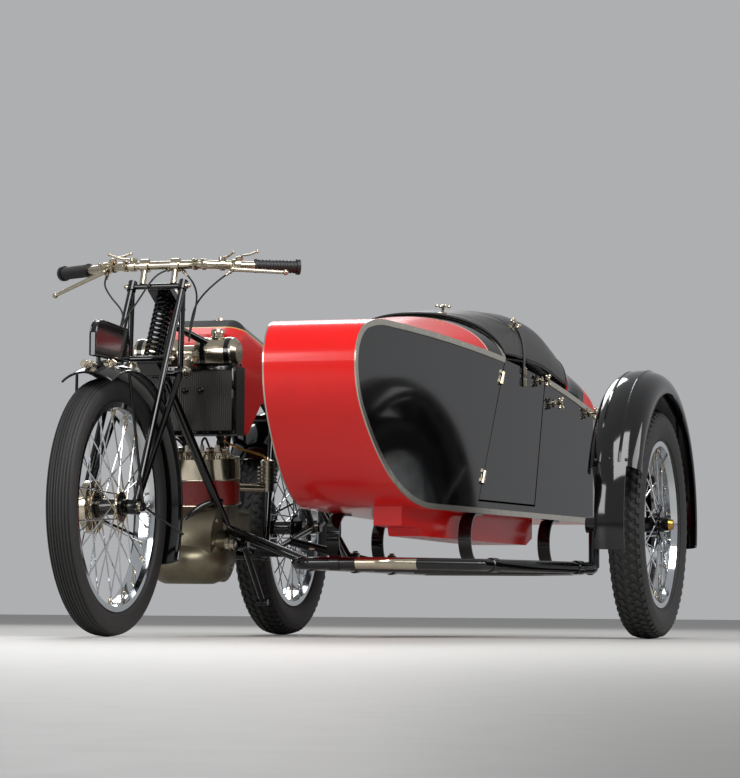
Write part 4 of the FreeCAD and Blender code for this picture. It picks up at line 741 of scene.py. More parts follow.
DATUM = (0.0, 0.0, 0.0)
FRONT_AXLE = (0.0, 0.0, 346.5)
REAR_AXLE = (-1410.0, 0.0, 331.5)
SIDE_AXLE = (-1160.0, 1216.0, 331.5)
RAIL_Z = 205.0
PANEL_OUT = (0.1044, 0.9945, 0.0)
PANEL_IN = (0.1044, -0.9945, 0.0)
# Limits of zones: past every place, under every distance and under every facing
EVERYWHERE = 9000.0
NO_DISTANCE = -1.0
NO_FACING = -1.1
OUTER_FACE = 0.6
# A plane by a place and its direction: over the tank's top edge, and where the cover's front edge slants
TANK_TOP = ((-730, 0, 915), (-0.19, 0, 0.98))
COVER_FRONT = ((-930, 0, 940), (1, 0, -1.42))
PROUD_OF_PANEL = Zone(None, Measure.PLANE, (-903.6, 773.9, 392.0), PANEL_OUT, 0.5, 40.0)
HINGE = Zone(NICKEL_PLATE, Measure.LINE, (-903.6, 777.5, 392.0), (-0.43, 0.045, 0.9), NO_DISTANCE, 24.0,
             (PROUD_OF_PANEL,))
FRONT_OF_LOOP = (Zone(None, Measure.PLANE, (0, 0, RAIL_Z), UP, -22.0, 22.0),
                 Zone(None, Measure.PLANE, (-600, 0, 0), AHEAD, 0.0, EVERYWHERE))
ZONES_OF_NODE = {
    "side_panel_outer": (Zone(RED_ENAMEL, Measure.NORMAL, DATUM, PANEL_OUT, NO_FACING, OUTER_FACE),
                         Zone(BLACK_ENAMEL, Measure.PLANE, (-870, 0, 0), AHEAD, -EVERYWHERE, 0.0), HINGE),
    "side_panel_inner": (Zone(RED_ENAMEL, Measure.NORMAL, DATUM, PANEL_IN, NO_FACING, OUTER_FACE),),
    "door": (HINGE,),
    "fuel_tank": (Zone(GOLD_LINE, Measure.PLANE, *TANK_TOP, -35.0, EVERYWHERE),
                  Zone(BLACK_ENAMEL, Measure.PLANE, *TANK_TOP, -31.0, EVERYWHERE)),
    "cylinder_block": (Zone(ENGINE_RED, Measure.PLANE, DATUM, UP, 372.0, 442.0),),
    "scuttle_deck": (Zone(ROSE_LINE, Measure.PLANE, *COVER_FRONT, -EVERYWHERE, 66.0),
                     Zone(BLACK_ENAMEL, Measure.PLANE, *COVER_FRONT, -EVERYWHERE, 60.0)),
    "tail_deck": (Zone(BLACK_ENAMEL, Measure.PLANE, DATUM, AHEAD, -1790.0, -1640.0),),
    "chassis_tubes": (Zone(NICKEL_PLATE, Measure.PLANE, DATUM, LEFT, 560.0, 715.0, FRONT_OF_LOOP),),
    "front_wire_wheel": (Zone(NICKEL_PLATE, Measure.LINE, FRONT_AXLE, LEFT, NO_DISTANCE, 75.0),
                         Zone(BLACK_ENAMEL, Measure.LINE, FRONT_AXLE, LEFT, NO_DISTANCE, 30.0)),
    "rear_wire_wheel": (Zone(BLACK_ENAMEL, Measure.LINE, REAR_AXLE, LEFT, NO_DISTANCE, 95.0),),
    "side_wire_wheel": (Zone(BLACK_ENAMEL, Measure.LINE, SIDE_AXLE, LEFT, NO_DISTANCE, 60.0),),
}


class Wardrobe:
    """Makes each finish once and puts it on pieces."""

    def __init__(self) -> None:
        """Build every finish."""
        self.materials = {slot: finish.build() for slot, finish in FINISH_OF_SLOT.items()}

    def dress_frame(self) -> None:
        """Give each metal piece of the frame the finish of its record slot, or its own painted zones."""
        slots = {row["node"]: Slot(row["material_slot"]) for row in frame["record"]["subparts"]}
        for name, piece in frame["nodes"].items():
            material = self.materials[slots[name]]
            if name in ZONES_OF_NODE:
                material = FINISH_OF_SLOT[slots[name]].build(name, ZONES_OF_NODE[name])
            piece.data.materials.clear()
            piece.data.materials.append(material)
        LOG.info("dressed %d frame pieces", len(slots))

    def dress(self, shape: Shape, name: str, body: str, slot: Slot, finish: Finish | None = None,
              replaced: tuple[str, ...] = (), sharp_deg: float = SHARP_DEG) -> bpy.types.Object:
        """Make a piece of a shape, give it its finish and let it ride on its body.

        Args:
            shape: what it is made of.
            name: piece name.
            body: body that carries it.
            slot: material slot of the record.
            finish: its own finish, or none for the slot's.
            replaced: nodes of the frame that it stands for.
            sharp_deg: edges that turn by more than this stay crisp.

        Returns:
            The piece.
        """
        piece = shape.make(name, sharp_deg)
        piece.data.materials.append(finish.build() if finish else self.materials[slot])
        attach(piece, body)
        if replaced:
            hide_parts(*replaced)
        LOG.info("%s: %d faces on %s", name, len(piece.data.polygons), body)
        return piece


class Tread(Enum):
    """Tread patterns of the tyres."""

    RIBBED = "ribbed"
    BLOCKS = "blocks"


@dataclass
class Wheel:
    """Treaded tyre, spoke nipples and valve of one wheel, sizes in millimetres.

    A wall's shape is pairs of a share of the half width and a share of the height over the rim, and a
    shoulder's is pairs of a share of the half width and a drop below the crown as a share of it. A ridge is a
    height over the rim in millimetres and as a share, its width and how far it stands out. A row of lugs is
    its place across as a share of the half width, its length, its width and its turn in degrees.
    """

    name: str
    centre: tuple[float, float, float]
    radius: float
    width: float
    rim_radius: float
    rim_width: float
    hub_half: float
    tread: Tread
    steps: int = 144
    spokes: int = 36
    spoke_lean_deg: float = 62.0
    flange_radius: float = 34.0
    flange_share: float = 0.62
    well_depth: float = 20.0
    well_share: float = 0.09
    valve_deg: float = 95.0
    wall_points: int = 92
    bead_inset: float = 4.0
    bead_depth: float = 11.0
    wall_shape: tuple[tuple[float, float], ...] = ((0.9, 0.2), (1.0, 0.45), (0.97, 0.66))
    shoulder: tuple[tuple[float, float], ...] = ((0.84, 0.24), (0.5, 0.07), (0.0, 0.0))
    ridges: tuple[tuple[float, float, float, float], ...] = ((9.0, 0.0, 1.2, 1.1), (0.0, 0.62, 1.0, 0.7))
    tread_reach: float = 0.86
    tread_blend: float = 0.05
    tread_start: float = 12.0
    rib_pitch: float = 8.4
    groove_start: float = 0.35
    groove_blend: float = 0.25
    groove_depth: float = 3.0
    lug_pitch: float = 30.0
    lug_bed: float = 5.0
    lug_height: float = 7.0
    lug_sink: float = 6.6
    lug_round: float = 2.0
    lug_rows: tuple[tuple[float, float, float, float], ...] = (
        (-0.84, 17.0, 19.0, 0.0), (-0.42, 22.0, 13.0, 32.0), (0.0, 22.0, 13.0, -32.0),
        (0.42, 22.0, 13.0, 32.0), (0.84, 17.0, 19.0, 0.0))

    def wall(self) -> np.ndarray:
        """Half section of the tyre from bead to crown on a smooth curve, with two moulded ridges.

        Returns:
            Distance across and radius of each point.
        """
        half, tall = self.width / 2.0, self.radius - self.rim_radius
        seat = self.rim_width / 2.0 - self.bead_inset
        curve = smooth([(seat, self.rim_radius - self.bead_depth), (seat + 0.5, self.rim_radius + 1.0),
                        *((half * share, self.rim_radius + tall * level) for share, level in self.wall_shape),
                        *((half * share, self.radius - half * drop) for share, drop in self.shoulder)],
                       self.wall_points)
        for level, share, narrow, high in self.ridges:
            over = curve[:, 1] - self.rim_radius - level - share * tall
            curve[:, 0] += high * np.exp(-(over / narrow) ** 2)
        return curve

    def section(self) -> np.ndarray:
        """Whole section, its crown lowered in the grooves between ribs or under lugs.

        Returns:
            Distance across and radius of each point, from bead to bead.
        """
        curve = self.wall()
        reach = curve[:, 0] / (self.width / 2.0)
        worn = np.clip((self.tread_reach - reach) / self.tread_blend, 0.0, 1.0)
        worn *= curve[:, 1] > self.rim_radius + self.tread_start
        cut = self.lug_bed
        if self.tread is Tread.RIBBED:
            wave = np.cos(2.0 * np.pi * curve[:, 0] / self.rib_pitch)
            cut = np.clip((-wave - self.groove_start) / self.groove_blend, 0.0, 1.0) * self.groove_depth
        curve[:, 1] -= worn * cut
        return np.concatenate([curve, curve[::-1][1:] * (-1.0, 1.0)])

    def tyre_shape(self) -> Shape:
        """Section turned round the axle, with rows of lugs where the tread has blocks.

        Returns:
            The tyre.
        """
        across, radius = self.section().T
        grid = self.centre + upright(around(self.steps)[:, None], radius, across)
        shape = Shape().add(place(grid), close_rows=True)
        if self.tread is Tread.BLOCKS:
            self.add_lugs(shape)
        return shape

    def add_lugs(self, shape: Shape) -> None:
        """Rows of rubber lugs, each turned against the next, flush with the tyre's own outline.

        Args:
            shape: the tyre.
        """
        half = self.width / 2.0
        curve = self.wall()
        count = int(2.0 * np.pi * self.radius / self.lug_pitch)
        for row, (reach, long, wide, turn_deg) in enumerate(self.lug_rows):
            low_wall = np.where(curve[:, 1] < self.radius - half, np.inf, 0.0)
            k = int(np.argmin(np.abs(curve[:, 0] - abs(reach) * half) + low_wall))
            slope = curve[min(k + 1, len(curve) - 1)] - curve[k - 1]
            lean = math.atan2(slope[1], -slope[0]) * math.copysign(1.0, reach) if reach else 0.0
            turn = 2.0 * np.pi * (np.arange(count) + 0.5 * (row % 2)) / count
            out, forward = upright(turn), upright(turn + np.pi / 2.0)
            normal = out * math.cos(lean) + np.array(LEFT) * math.sin(lean)
            sideways = np.cross(normal, forward)
            heading = forward * math.cos(math.radians(turn_deg)) + sideways * math.sin(math.radians(turn_deg))
            middle = self.centre + upright(turn, curve[k, 1], math.copysign(curve[k, 0], reach))
            lug = slab(long, wide, self.lug_height, self.lug_round)
            shape.stamp(lug, middle - normal * self.lug_sink, normal, heading)

    def nipples(self) -> Shape:
        """Nipples where the spokes meet the rim, each in line with its spoke, and a tyre valve.

        Returns:
            The nipples and the valve.
        """
        index = np.arange(self.spokes)
        side = np.where(index % 2, 1.0, -1.0)
        rim = 2.0 * np.pi * index / self.spokes
        hub = rim + np.radians(np.where(index % 4 < 2, self.spoke_lean_deg, -self.spoke_lean_deg))
        well = self.rim_radius - self.well_depth
        start = upright(hub, self.flange_radius, side * self.hub_half * self.flange_share)
        end = upright(rim, well, side * self.rim_width * self.well_share)
        nipple = turned([(0, -2), (4.2, -2), (4.2, 2), (3.2, 3), (3.0, 15), (2.2, 16), (0, 16)], 8)
        valve = turned([(0, -2), (6, -2), (6, 2), (3.6, 3), (3.6, 24), (4.4, 25), (4.4, 32), (0, 33)], 10)
        valve_turn = math.radians(self.valve_deg)
        shape = Shape().stamp(nipple, self.centre + end, start - end)
        return shape.stamp(valve, self.centre + upright(valve_turn, well), -upright(valve_turn))

    def build(self, wardrobe: Wardrobe) -> None:
        """Make the wheel's pieces.

        Args:
            wardrobe: gives the finishes.
        """
        body = f"{self.name}_wheel"
        wardrobe.dress(self.tyre_shape(), f"{self.name}_treaded_tyre", body, Slot.TYRE,
                       replaced=(f"{self.name}_tyre",))
        wardrobe.dress(self.nipples(), f"{self.name}_nipples", body, Slot.NICKEL)


WHEELS = (
    Wheel("front", FRONT_AXLE, 346.5, 80.0, 281.0, 56.0, 58.0, Tread.RIBBED),
    Wheel("rear", REAR_AXLE, 331.5, 103.0, 242.5, 76.0, 70.0, Tread.BLOCKS),
    Wheel("side", SIDE_AXLE, 331.5, 103.0, 242.5, 76.0, 62.0, Tread.BLOCKS),
)


def fork(along: float, behind: float, y: float = 0.0) -> np.ndarray:
    """Point along the fork from the front axle and behind its front tubes, in millimetres."""
    ahead = np.array([-along * math.sin(RAKE) - behind * math.cos(RAKE), y, 0.0])
    return FRONT_AXLE + ahead + np.array(UP) * (along * math.cos(RAKE) - behind * math.sin(RAKE))


RAKE = math.radians(28.0)
FORK_UP = fork(1, 0) - FRONT_AXLE
FORK_BACK = fork(0, 1) - FRONT_AXLE
BAR_MIDDLE = fork(776.0, -8.0)
BAR_STRAIGHT = 120.0
BAR_SWEEP = np.array([-146.0, 0.0, 2.0]) / 237.0


def bar_point(y: float) -> np.ndarray:
    """Point on the handlebar, swept back past its straight middle, in millimetres."""
    return BAR_MIDDLE + np.array(LEFT) * y + BAR_SWEEP * max(abs(y) - BAR_STRAIGHT, 0.0)


@dataclass
class ForkTrim:
    """Nuts, damper knobs, control cables, bar fittings and grip ribs that turn with the bars, in millimetres.

    A cable is its route from the bar and the direction of the adjuster at its start.
    """

    leg_y: float = 76.0
    knee: tuple[float, float] = (490.0, 104.0)
    knob_out: float = 12.8
    pivots: tuple[float, ...] = (711.0, 470.0)
    nut_out: float = 9.0
    clamp_bolt: tuple[float, float] = (776.0, 10.0)
    clamp_y: float = 46.0
    stem_top: tuple[float, float] = (749.0, 120.0)
    cable_radius: float = 2.6
    lever_radius: float = 3.0
    adjuster_sink: float = 4.0
    cable_reference: tuple[float, float, float] = (0.3, 0.9, 0.1)
    clip_step: float = 8.0
    screw_place: tuple[float, float, float] = (17.0, 0.0, -2.0)
    screw_line: tuple[float, float, float] = (0.1, 0.0, 1.0)
    clip_ys: tuple[float, ...] = (-196.0, -150.0, -104.0, 104.0, 128.0, 206.0)
    lever_ys: tuple[float, ...] = (-150.0, 214.0)
    lever_place: tuple[float, float, float] = (4.0, 0.0, 16.0)
    lever_line: tuple[float, float, float] = (0.2, 0.0, 1.0)
    lever_path: tuple[tuple[float, float, float], ...] = ((0, 0, 0), (8, 14, 9), (10, 34, 12), (6, 56, 20))
    grip_end: float = 357.0
    grip_length: float = 125.0
    grip_step: float = 20.0
    grip_reach: tuple[float, float] = (0.1, 0.9)
    grip_ribs: int = 11
    control_cables: tuple[tuple[list, tuple], ...] = (
        ([(-366, 34, 1030), (-330, -6, 1000), (-298, -44, 930), (-252, -78, 850), (-214, -89, 780),
          (-150, -89, 650)], (0.6, -0.5, -0.5)),
        ([(-385, -172, 1022), (-352, -166, 985), (-330, -140, 950), (-318, -100, 905), (-300, -89, 862)],
         (0.5, 0.1, -0.85)),
        ([(-394, 200, 1021), (-392, 150, 985), (-392, 112, 950), (-386, 92, 915), (-378, 84, 870),
          (-366, 84, 820)], (0.0, -0.8, -0.6)),
        ([(-372, 60, 1024), (-372, 92, 985), (-380, 100, 950), (-380, 96, 910), (-371, 90, 868),
          (-360, 86, 830)], (0.0, 0.6, -0.75)))

    def knobs(self) -> Shape:
        """Domed nuts at the fork's pivots, ridged damper knobs at its knee and the cap of its stem.

        Returns:
            The nuts and knobs.
        """
        shape = Shape()
        knob = turned([(0, 0), (17, 0), (17, 5), (14, 7), (14, 11), (9, 13), (9, 18), (0, 19)], 20)
        for side in SIDES:
            out = (0.0, side, 0.0)
            shape.stamp(knob, fork(*self.knee, side * (self.leg_y + self.knob_out)), out)
            for along in self.pivots:
                shape.stamp(ACORN_NUT, fork(along, 0.0, side * (self.leg_y + self.nut_out)), out)
            shape.stamp(HEX_BOLT, fork(*self.clamp_bolt, side * self.clamp_y), FORK_BACK)
        top = turned([(0, 0), (17, 0), (17, 6), (12, 8), (12, 20), (8, 24), (0, 25)], 20)
        return shape.stamp(top, fork(*self.stem_top), FORK_UP)

    def cables(self) -> Shape:
        """Bowden cables from the levers and the middle of the bar, past the head and beside the girder."""
        shape = Shape()
        for route, _ in self.control_cables:
            shape.run(smooth(route, 40), self.cable_radius, reference=self.cable_reference)
        return shape

    def fittings(self) -> Shape:
        """Clamps along the bar with their screws, adjusters where cables start, and the thumb levers.

        Returns:
            The fittings.
        """
        shape = Shape()
        band = turned([(12.6, -6), (15.6, -5), (15.6, 5), (12.6, 6)], 20)
        screw = turned([(0, -13), (3.6, -13), (3.6, 12), (6, 12), (6, 16), (0, 17)], 10)
        barrel = turned([(0, -2), (4.6, -2), (4.6, 8), (6.0, 9), (6.0, 15), (4.0, 17), (4.0, 26),
                         (0, 27)], 10)
        ball = turned([(0, -5), (3, -4.4), (5, -1), (5, 1), (3, 4.4), (0, 5)], 12)
        knuckle = turned([(0, -3), (9, -3), (11, 0), (11, 5), (7, 9), (0, 10)], 14)
        for y in self.clip_ys:
            spot = bar_point(y)
            shape.stamp(band, spot, bar_point(y + self.clip_step) - bar_point(y - self.clip_step))
            shape.stamp(screw, spot + self.screw_place, self.screw_line)
        for route, out in self.control_cables:
            shape.stamp(barrel, route[0] - unit(out) * self.adjuster_sink, out)
        for y in self.lever_ys:
            spot = bar_point(y) + self.lever_place
            path = spot + np.array(self.lever_path)
            shape.stamp(knuckle, spot, self.lever_line)
            shape.run(smooth(path, 20), self.lever_radius, reference=UP)
            shape.stamp(ball, path[-1], UP)
        return shape

    def grips(self) -> Shape:
        """Raised rings along each rubber grip.

        Returns:
            The rings.
        """
        shape = Shape()
        ring = turned([(16.6, -2.6), (18.4, -1.6), (18.4, 1.6), (16.6, 2.6)])
        share = np.linspace(*self.grip_reach, self.grip_ribs)[:, None]
        for side in SIDES:
            end = bar_point(side * self.grip_end)
            line = unit(bar_point(side * (self.grip_end - self.grip_step)) - end)
            shape.stamp(ring, end + line * self.grip_length * share, line)
        return shape

    def build(self, wardrobe: Wardrobe) -> None:
        """Make the pieces.

        Args:
            wardrobe: gives the finishes.
        """
        wardrobe.dress(self.knobs(), "fork_knobs", "steering", Slot.NICKEL)
        wardrobe.dress(self.cables(), "control_cables", "steering", Slot.GRIP, CABLE_SHEATH)
        wardrobe.dress(self.grips(), "grip_ribs", "steering", Slot.GRIP)
        wardrobe.dress(self.fittings(), "bar_fittings", "steering", Slot.NICKEL)


@dataclass(frozen=True)
class Guard:
    """One mudguard: its centre, crown radius, drop from crown to edge, half width and end angles."""

    centre: tuple[float, float, float]
    radius: float
    drop: float
    half: float
    start_deg: float
    end_deg: float
    bead: float = 3.2
    rim_points: int = 40

    def edges(self) -> Shape:
        """Rolled beads along both edges."""
        shape = Shape()
        for side in SIDES:
            path = arc(self.centre, self.radius - self.drop, self.start_deg, self.end_deg, side * self.half)
            shape.run(path, self.bead)
        return shape

    def beads(self) -> Shape:
        """Rolled beads along both edges and across both ends, where they follow the crown's own circle.

        Returns:
            The beads.
        """
        shape = self.edges()
        bulge = (self.half ** 2 + self.drop ** 2) / (2.0 * self.drop)
        across = np.linspace(-self.half, self.half, self.rim_points)
        level = self.radius - bulge + np.sqrt(bulge ** 2 - across ** 2)
        for turn in (math.radians(self.start_deg), math.radians(self.end_deg)):
            rim = self.centre + upright(turn, level, across)
            shape.run(rim, self.bead, reference=upright(turn + np.pi / 2.0))
        return shape


@dataclass
class GuardTrim:
    """Beads, rims, rivets and wing nuts of the three mudguards, sizes in millimetres."""

    front: Guard = Guard(FRONT_AXLE, 388.0, 26.0, 70.0, 64.0, 202.0)
    rear: Guard = Guard(REAR_AXLE, 372.0, 24.0, 74.0, 32.0, 192.0)
    side: Guard = Guard((-1160.0, 1202.0, 331.5), 384.0, 0.0, 75.0, 20.0, 188.0)
    spine: float = 4.0
    spine_out: float = 1.0
    plate_corner: tuple[float, float] = (77.0, 795.0)
    plate_round: float = 45.0
    plate_ends: tuple[tuple[float, float], ...] = ((-105.0, 832.0), (-113.0, 745.0), (122.0, 745.0))
    plate_half: float = 8.0
    plate_bead: float = 2.4
    wing_apart: float = 6.0
    wing_out: float = 2.0
    wing_lean: float = 0.7
    wings: tuple[tuple[float, float], ...] = (
        (70.0, 0.0), (78.0, 34.0), (78.0, -34.0), (97.0, 40.0), (97.0, -40.0))
    rivet_deg: float = 22.5
    rivets: tuple[tuple[float, float], ...] = ((-46.0, 441.0), (-5.0, 448.5), (42.0, 442.0))

    def plate_rim(self) -> Shape:
        """Round rim along the outline of the number plate, on both of its sides.

        Returns:
            The rims.
        """
        turn = np.radians(np.linspace(0.0, 90.0, 12))
        corner = self.plate_corner + self.plate_round * np.column_stack([np.cos(turn), np.sin(turn)])
        x, z = outlined(np.concatenate([corner, self.plate_ends])).T
        shape = Shape()
        for side in SIDES:
            shape.run(stacked(x, side * self.plate_half, z), self.plate_bead, loop=True)
        return shape

    def wing_nuts(self) -> Shape:
        """Wing nuts and studs that hold the plate and the front guard.

        Returns:
            The nuts.
        """
        shape = Shape()
        hub = turned([(0, -3), (8, -3), (6, 7), (4, 8), (4, 14), (0, 15)], 12)
        wing = slab(20.0, 3.5, 13.0, 1.6)
        for angle, y in self.wings:
            out = upright(math.radians(angle))
            level = self.front.radius - self.front.drop * (y / self.front.half) ** 2
            spot = self.front.centre + out * level + (0.0, y, 0.0)
            shape.stamp(hub, spot, out, LEFT)
            for side in SIDES:
                foot = spot + (0.0, side * self.wing_apart, 0.0) + out * self.wing_out
                shape.stamp(wing, foot, out + (0.0, side * self.wing_lean, 0.0), LEFT)
        return shape

    def build(self, wardrobe: Wardrobe) -> None:
        """Make the pieces.

        Args:
            wardrobe: gives the finishes.
        """
        front = self.front.beads().run(arc(self.front.centre, self.front.radius + self.spine_out,
                                           self.front.start_deg, self.front.end_deg), self.spine)
        wardrobe.dress(front, "front_guard_beads", "steering", Slot.BLACK)
        wardrobe.dress(self.plate_rim(), "plate_rim", "steering", Slot.BLACK)
        wardrobe.dress(self.wing_nuts(), "wing_nuts", "steering", Slot.NICKEL)
        wardrobe.dress(self.rear.beads(), "rear_guard_beads", "frame", Slot.BLACK)
        turn = math.radians(self.rivet_deg)
        spots = [self.side.centre + upright(turn, level, y) for y, level in self.rivets]
        side = self.side.edges().stamp(ROUND_RIVET, spots, upright(turn))
        wardrobe.dress(side, "side_guard_beads", "frame", Slot.BLACK)


@dataclass
class Engine:
    """Plugs, leads, nuts, bands and hoses of the leaning engine, sizes in millimetres."""

    lean: float = math.radians(8.0)
    crank: tuple[float, float, float] = (-650.0, 0.0, 262.0)
    back: float = 60.0
    depth: float = 134.0
    half: float = 113.0
    cap_top: float = 244.0
    plug_row: float = 0.24
    plug_shares: tuple[float, ...] = (-0.62, -0.2, 0.2, 0.62)
    boss_height: float = 8.0
    rim_nuts: int = 14
    rim_inset: float = 9.0
    rim_squeeze: float = 0.12
    band_out: float = 1.0
    band_levels: tuple[float, ...] = (110.0, 184.0)
    band_square: float = 0.62
    band_radius: float = 2.6
    insulator_height: float = 14.0
    lead_height: float = 31.0
    lead_radius: float = 3.2
    hose_radius: float = 8.5
    hoses: tuple[tuple[float, float], ...] = ((-52.0, 0.0), (58.0, 8.0))
    magneto: tuple[tuple[float, float, float], ...] = ((-768.0, 0.7, 500.0), (-806.0, 0.5, 452.0))
    shoulder_radius: float = 9.5
    shoulder: tuple[tuple[float, float, float], ...] = (
        (-566, -32, 266), (-566, -22, 292), (-572, -7, 318), (-580, 15, 347), (-599, 42, 370),
        (-619, 68, 382), (-640, 84, 386))

    def point(self, along: Numbers, up: float, y: Numbers) -> np.ndarray:
        """Point of the engine's leaning frame: along forward, up the cylinders and across."""
        return self.crank + stacked(along * math.cos(self.lean) + up * math.sin(self.lean), y,
                                    up * math.cos(self.lean) - along * math.sin(self.lean))

    def row(self, share: float, height: float, y: Numbers) -> np.ndarray:
        """Points over the cap, at a share of its depth in front of its middle."""
        return self.point(self.depth * share - self.back, self.cap_top + height, y)

    def nuts(self, up: np.ndarray, plugs: np.ndarray) -> Shape:
        """Plug bodies, valve caps, nuts round the cap and two bands round the cylinders.

        Args:
            up: direction of the cylinders.
            plugs: places of the plugs.

        Returns:
            The nuts and bands.
        """
        hexes = turned([(0, 0), (13, 0), (13, 9), (11, 11), (11, 14), (0, 14)], 6)
        domes = turned([(0, 0), (14, 0), (14, 5), (12, 7), (12, 16), (9, 20), (0, 22)], 6)
        nut = turned([(0, -1), (7, -1), (7, 6), (4, 7), (4, 12), (0, 13)], 6)
        metal = Shape().stamp(hexes, plugs, up)
        caps = self.row(-self.plug_row, self.boss_height, plugs[:, 1])
        metal.stamp(domes, caps, up)
        turn = around(self.rim_nuts)
        rim = self.point(-self.back + (self.depth / 2.0 - self.rim_inset) * np.cos(turn), self.cap_top,
                         (self.half - self.rim_inset) * np.sin(turn)
                         * (1.0 - self.rim_squeeze * np.cos(2.0 * turn) ** 2))
        metal.stamp(nut, rim, up)
        turn = around(96)
        for level in self.band_levels:
            along = (self.depth / 2.0 + self.band_out) * power(np.cos(turn), self.band_square) - self.back
            y = (self.half + self.band_out) * power(np.sin(turn), self.band_square)
            ring = self.point(along, level, y)
            metal.run(ring, self.band_radius, reference=up, loop=True)
        return metal

    def leads(self, up: np.ndarray, plugs: np.ndarray) -> Shape:
        """Leads from the plugs over to the magneto, and two hoses from the cap to the radiator.

        Args:
            up: direction of the cylinders.
            plugs: places of the plugs.

        Returns:
            The leads and hoses.
        """
        leads = Shape()
        for top in plugs + up * self.lead_height:
            steps = np.array([(0, 0, 0), (-2, 0, 12), (-26, 0, 22), (-62, -0.15 * top[1], 4)])
            ends = [(x, share * top[1], z) for x, share, z in self.magneto]
            leads.run(smooth([*(top + steps), *ends], 40), self.lead_radius)
        for y, reach in self.hoses:
            foot = self.row(-self.plug_row, 0.0, y)
            steps = [(0, 0, 0), (0, 0, 24), (10, 0, 44), (46, reach, 56), (66, reach, 66)]
            leads.run(smooth(foot + np.array(steps), 36), self.hose_radius, 12)
        return leads

    def build(self, wardrobe: Wardrobe) -> None:
        """Make the engine's pieces.

        Args:
            wardrobe: gives the finishes.
        """
        up = upright(np.pi / 2.0 - self.lean)
        plugs = self.row(self.plug_row, self.boss_height, np.array(self.plug_shares) * self.half)
        wardrobe.dress(self.nuts(up, plugs), "cylinder_nuts", "frame", Slot.NICKEL)
        sleeve = turned([(0, 0), (6.5, 0), (7.5, 4), (6.6, 8), (7.2, 12), (6.0, 16), (4.5, 18), (0, 18)], 14)
        porcelain = Shape().stamp(sleeve, plugs + up * self.insulator_height, up)
        wardrobe.dress(porcelain, "plug_insulators", "frame", Slot.CAST, PORCELAIN)
        wardrobe.dress(self.leads(up, plugs), "plug_leads_and_hoses", "frame", Slot.GRIP, CABLE_SHEATH)
        pipe = Shape().run(smooth(self.shoulder, 48), self.shoulder_radius, 16, (1.0, 0.0, 0.2))
        wardrobe.dress(pipe, "shoulder_pipe", "frame", Slot.BLACK)


@dataclass
class Radiator:
    """Fins and frame of the radiator, and straps, filler and outlet of its header, sizes in millimetres."""

    half: float = 160.0
    low: float = 570.0
    high: float = 765.0
    front: float = -545.0
    fin_pitch: float = 6.4
    rung_pitch: float = 9.0
    inset: float = 6.0
    top_inset: float = 5.0
    sink: float = 1.0
    fin_low: float = 12.0
    fin_high: float = 10.0
    fin_side: float = 13.0
    rivet_out: float = 5.0
    rivet_size: float = 0.7
    stud_out: float = 2.0
    stud_ys: tuple[float, float] = (6.0, 54.0)
    stud_z: float = 696.0
    rivets: int = 9
    strap_ys: tuple[float, ...] = (60.0, 132.0, -132.0)
    header: tuple[float, float, float] = (-572.0, 0.0, 805.0)
    neck_place: tuple[float, float, float] = (0.0, 92.0, 42.0)
    outlet_place: tuple[float, float, float] = (30.0, 24.0, -22.0)
    outlet_line: tuple[float, float, float] = (0.9, 0.0, -0.5)

    def fins(self) -> Shape:
        """Upright fins over the radiator's face, crossed by thinner rungs.

        Returns:
            The fins.
        """
        low, high, face = self.low + self.fin_low, self.high - self.fin_high, self.front - self.sink
        y = np.arange(self.fin_side - self.half, self.half - self.fin_low, self.fin_pitch)
        z = np.arange(low + self.inset, high, self.rung_pitch)
        fins = Shape().stamp(slab(high - low, 1.6, 4.4, 0.5), stacked(face, y, (low + high) / 2.0), AHEAD)
        rung = slab(2.0 * (self.half - self.fin_low), 0.9, 2.8, 0.3)
        return fins.stamp(rung, stacked(face, 0.0, z), AHEAD, LEFT)

    def casing(self) -> Shape:
        """Plain frame with its rivets and two studs, and the straps of the header.

        Returns:
            The frame.
        """
        middle, face = (self.low + self.high) / 2.0, self.front - self.sink
        levels = (self.low + self.inset, self.high - self.top_inset)
        casing = Shape()
        for level in levels:
            casing.stamp(slab(2.0 * self.half, 12.0, 6.5, 1.2), (face, 0.0, level), AHEAD, LEFT)
        for side in SIDES:
            upright_bar = slab(self.high - self.low, 12.0, 6.5, 1.2)
            casing.stamp(upright_bar, (face, side * (self.half - self.inset), middle), AHEAD)
        spread = np.linspace(-self.half + self.inset, self.half - self.inset, self.rivets)
        for level in levels:
            spots = stacked(self.front + self.rivet_out, spread, level)
            casing.stamp(ROUND_RIVET * self.rivet_size, spots, AHEAD)
        casing.stamp(ACORN_NUT, stacked(self.front + self.stud_out, self.stud_ys, self.stud_z), AHEAD)
        strap = turned([(44.2, -8), (45.6, -7), (45.6, 7), (44.2, 8)], 40)
        for y in self.strap_ys:
            casing.stamp(strap, np.array(self.header) + (0.0, y, 0.0), LEFT)
        return casing

    def build(self, wardrobe: Wardrobe) -> None:
        """Make the radiator's pieces.

        Args:
            wardrobe: gives the finishes.
        """
        header = np.array(self.header)
        # The fins' finish holds painted glints: lighter grey clouds in the black film
        wardrobe.dress(self.fins(), "radiator_fins", "frame", Slot.RADIATOR)
        wardrobe.dress(self.casing(), "radiator_frame", "frame", Slot.BLACK)
        neck = turned([(0, 0), (19, 0), (19, 4), (17, 6), (17, 12), (20, 13), (20, 22), (17, 26), (6, 28),
                       (0, 28)], 28)
        outlet = turned([(0, 0), (16, 0), (16, 26), (19, 27), (19, 34), (0, 34)], 20)
        top = Shape().stamp(neck, header + self.neck_place, UP)
        top.stamp(outlet, header + self.outlet_place, self.outlet_line)
        wardrobe.dress(top, "header_filler", "frame", Slot.NICKEL)


